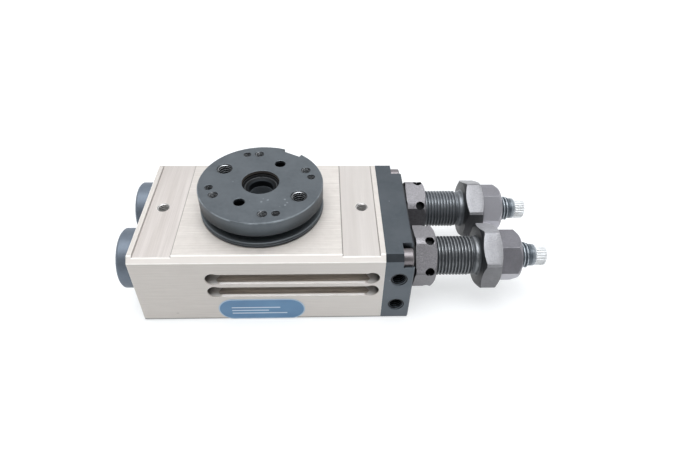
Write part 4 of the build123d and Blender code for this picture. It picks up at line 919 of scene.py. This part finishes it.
# ----------------------------------------------------------------------------
# Threads inside the tapped holes
# ----------------------------------------------------------------------------
def make_spring(side):
    """Return spring of the absorber, a helical wire laid between the ends of the CAD spring."""
    lo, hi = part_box(side + "_absorber_spring")
    wire, turns, per_turn, n = 0.30, 7, 26, 10
    x0, x1 = lo.x / MM + wire, hi.x / MM - wire
    cy, cz = AXIS_Y[side], AXIS_Z
    r = 2.30
    slope = (x1 - x0) / (turns * 2 * math.pi * r)
    tilt = math.atan(slope)
    verts, faces = [], []
    steps = turns * per_turn
    for i in range(steps + 1):
        t = 2 * math.pi * turns * i / steps
        out = Vector((0, math.cos(t), math.sin(t)))
        across = Vector((math.cos(tilt), math.sin(tilt) * math.sin(t), -math.sin(tilt) * math.cos(t)))
        c = Vector((x0 + (x1 - x0) * i / steps, cy + r * math.cos(t), cz + r * math.sin(t)))
        for k in range(n):
            a = 2 * math.pi * k / n
            verts.append((c + out * (wire * math.cos(a)) + across * (wire * math.sin(a))) * MM)
    for i in range(steps):
        for k in range(n):
            a, b = i * n + k, i * n + (k + 1) % n
            faces.append((a, a + n, b + n, b))
    faces.append(tuple(range(n)))
    faces.append(tuple(reversed(range(steps * n, steps * n + n))))
    bm = bmesh.new()
    vs = [bm.verts.new(v) for v in verts]
    for f in faces:
        bm.faces.new([vs[k] for k in f])
    bmesh.ops.recalc_face_normals(bm, faces=bm.faces)
    obj = new_object(side + "_return_spring", bm, M["spring_steel"], 40.0)
    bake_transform(obj)
    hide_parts(side + "_absorber_spring")


for side in ("front", "rear"):
    make_spring(side)


def hole_thread(place, top, depth, r_wall, r_tip, pitch, mouth, mouth_r, direction=-1.0, n=48, per_pitch=10):
    """Skin just inside a hole's wall with a helical ridge on it. top is the hole's mouth along its axis."""
    th = np.linspace(0, 2 * math.pi, n, endpoint=False)
    steps = int(depth / pitch * per_pitch)
    rows, crest = [], []
    for i in range(steps + 1):
        d = depth * i / steps
        wall = r_wall + max(0.0, 1.0 - d / mouth) * (mouth_r - r_wall) if mouth > 0 else r_wall
        env = min(1.0, (d + 0.02) / 0.25) * min(1.0, (depth - d) / 0.25)
        h = thread_form(d / pitch - th / (2 * math.pi), 0.20, 0.30) * max(0.0, env)
        rows.append((top + direction * d, wall - 0.012 - (wall - r_tip) * h * 0.92))
        crest.append(h)
    # outer skin, to make the liner a closed body
    for d in (depth, depth * 0.5, mouth, 0.0):
        wall = r_wall + max(0.0, 1.0 - d / mouth) * (mouth_r - r_wall) if mouth > 0 else r_wall
        rows.append((top + direction * d, np.full(n, wall - 0.004)))
        crest.append(np.zeros(n))
    return polar_loft(rows, th, place, closed=True, crest=crest)


TOP = round(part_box("turntable")[1].z / MM, 3)


def table_spots(radius, angles):
    return [(radius * math.cos(math.radians(60 + a)), radius * math.sin(math.radians(60 + a))) for a in angles]


def add_threads(name, parts, material, body):
    bm = join_bmeshes(parts)
    obj = new_object(name, bm, material, 50.0)
    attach(obj, body)


add_threads("table_m5_hole_threads", [hole_thread(along_z(x, y), TOP - 0.03, 6.6, 2.1, 1.86, 0.8, 0.4, 2.5, n=56) for x, y in table_spots(13.2, (90, -90))],
            M["hole_thread"], "turntable")
add_threads("table_m3_hole_threads", [hole_thread(along_z(x, y), TOP - 0.03, 3.9, 1.25, 1.05, 0.5, 0.25, 1.5, n=40) for x, y in table_spots(14.4, (36, -36, 144, -144))],
            M["hole_thread"], "turntable")
add_threads("table_small_hole_threads", [hole_thread(along_z(x, y), TOP - 0.03, 3.9, 1.15, 1.0, 0.45, 0.1, 1.25, n=40) for x, y in table_spots(15.05, (50.5, -50.5, 129.5, -129.5))],
            M["hole_thread"], "turntable")
add_threads("body_hole_threads", [hole_thread(along_z(x, 0), 25.82, 8.0, 1.65, 1.42, 0.7, 0.35, 2.0, n=44) for x in (30.26, -30.26)],
            M["housing_thread"], "housing")
add_threads("air_port_threads", [hole_thread(along_y(40.3, z), -22.62, 3.4, 2.1, 1.88, 0.8, 0.45, 2.55, direction=1.0, n=56) for z in (17.3, 6.25)],
            M["port_thread"], "housing")


# ----------------------------------------------------------------------------
# Edge rounding on the CAD nodes that stay
# ----------------------------------------------------------------------------
def round_edges(node, width_mm, segments=2, angle=28.0):
    o = NODES[node]
    w = o.modifiers.new("weld", "WELD")
    w.merge_threshold = 1e-6
    d = o.modifiers.new("flat", "DECIMATE")
    d.decimate_type = "DISSOLVE"
    d.angle_limit = math.radians(0.6)
    b = o.modifiers.new("bevel", "BEVEL")
    b.width = width_mm * MM
    b.segments = segments
    b.limit_method = "ANGLE"
    b.angle_limit = math.radians(angle)
    b.use_clamp_overlap = True
    b.harden_normals = False
    b.miter_outer = "MITER_ARC"
    n = o.modifiers.new("normals", "WEIGHTED_NORMAL")
    n.keep_sharp = True


for _n, _w in (("housing", 0.12), ("end_plate", 0.10), ("turntable", 0.08), ("front_cylinder_cap", 0.12), ("rear_cylinder_cap", 0.12),
               ("end_plate_screws", 0.07), ("name_label", 0.03), ("stop_seal_washers", 0.08), ("front_stop_locknut", 0.10),
               ("rear_stop_locknut", 0.10), ("front_absorber_nut", 0.09), ("rear_absorber_nut", 0.09)):
    round_edges(_n, _w)

# ----------------------------------------------------------------------------
# Stage: floor, light, camera
# ----------------------------------------------------------------------------
WORLD = {"front": 0.15, "back": 0.84, "lamp": 4.5, "lamp_elev": 86.0, "lamp_out": 31.0, "lamp_in": 14.0}


def build_stage():
    me = bpy.data.meshes.new("floor")
    s = 4.0
    me.from_pydata([(-s, -s, 0), (s, -s, 0), (s, s, 0), (-s, s, 0)], [], [(0, 1, 2, 3)])
    floor = bpy.data.objects.new("floor", me)
    bpy.context.scene.collection.objects.link(floor)
    g = Graph("floor_paper")
    n = g.noise(g.scaled(9, 9, 9), 1.0, 2.0, 0.5)
    col = g.mix(g.remap(n, 0.3, 0.7, 0, 1), (0.405, 0.410, 0.414), (0.425, 0.430, 0.434))
    # backlit white sheet: the lamp under it fills the shadows
    g.set(color=col, roughness=0.9, specular=0.1, glow=(0.985, 1.0, 1.008), glow_strength=0.63)
    me.materials.append(g.mat)
    floor.location.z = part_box("housing")[0].z - 0.00002

    # a white tent: one broad lamp overhead, a bright back wall and a dim side where the photographer stands
    world = bpy.data.worlds.new("studio")
    bpy.context.scene.world = world
    world.use_nodes = True
    nt = world.node_tree
    nt.nodes.clear()
    new, link = nt.nodes.new, nt.links.new
    out, bg, tc = new("ShaderNodeOutputWorld"), new("ShaderNodeBackground"), new("ShaderNodeTexCoord")
    unit = new("ShaderNodeVectorMath")
    unit.operation = "NORMALIZE"
    link(tc.outputs["Generated"], unit.inputs[0])

    def toward(direction, a0, a1, b0, b1):
        """Smooth ramp on the cosine between the view and a direction."""
        v = Vector(direction).normalized()
        d = new("ShaderNodeVectorMath")
        d.operation = "DOT_PRODUCT"
        link(unit.outputs[0], d.inputs[0])
        d.inputs[1].default_value = v
        m = new("ShaderNodeMapRange")
        m.interpolation_type = "SMOOTHSTEP"
        link(d.outputs["Value"], m.inputs["Value"])
        for name, val in (("From Min", a0), ("From Max", a1), ("To Min", b0), ("To Max", b1)):
            m.inputs[name].default_value = val
        return m.outputs[0]

    def op(kind, a, b):
        m = new("ShaderNodeMath")
        m.operation = kind
        for sock, val in ((m.inputs[0], a), (m.inputs[1], b)):
            if isinstance(val, bpy.types.NodeSocket):
                link(val, sock)
            else:
                sock.default_value = val
        return m.outputs[0]

    back = toward((0, 1, 0.25), -0.55, 0.45, WORLD["front"], WORLD["back"])
    el = math.radians(WORLD["lamp_elev"])
    lamp = toward((0.0, -math.cos(el), math.sin(el)), math.cos(math.radians(WORLD["lamp_out"])), math.cos(math.radians(WORLD["lamp_in"])), 0.0, WORLD["lamp"])
    total = op("ADD", back, lamp)
    # seen straight on, beyond the paper's edge, the tent is plain white
    seen = new("ShaderNodeLightPath").outputs["Is Camera Ray"]
    total = op("ADD", op("MULTIPLY", total, op("SUBTRACT", 1.0, seen)), seen)
    link(total, bg.inputs["Strength"])
    bg.inputs["Color"].default_value = (0.985, 1.0, 1.018, 1)
    link(bg.outputs[0], out.inputs[0])


def build_camera():
    """Pinhole camera standing where the photographer's stood, in front of and above the object."""
    cam = bpy.data.cameras.new("camera")
    obj = bpy.data.objects.new("camera", cam)
    right = Vector((0.99910, -0.03445, 0.02476)).normalized()
    fwd = Vector((0.04218, 0.74388, -0.66698)).normalized()
    up = right.cross(fwd).normalized()
    right = fwd.cross(up).normalized()
    m = Matrix(((right.x, up.x, -fwd.x, 0.0180), (right.y, up.y, -fwd.y, -0.1263), (right.z, up.z, -fwd.z, 0.1332), (0, 0, 0, 1)))
    obj.matrix_world = m
    cam.sensor_width = 36.0
    cam.sensor_fit = "HORIZONTAL"
    cam.lens = 536.41 * 36.0 / 690.0
    cam.shift_x = (345 - 344.39) / 690.0
    cam.shift_y = (221.01 - 230) / 690.0
    cam.clip_start, cam.clip_end = 0.005, 20.0
    bpy.context.scene.collection.objects.link(obj)
    bpy.context.scene.camera = obj


build_stage()
build_camera()
vs = bpy.context.scene.view_settings
vs.view_transform = "Standard"
vs.look = "None"
vs.exposure = 0.0
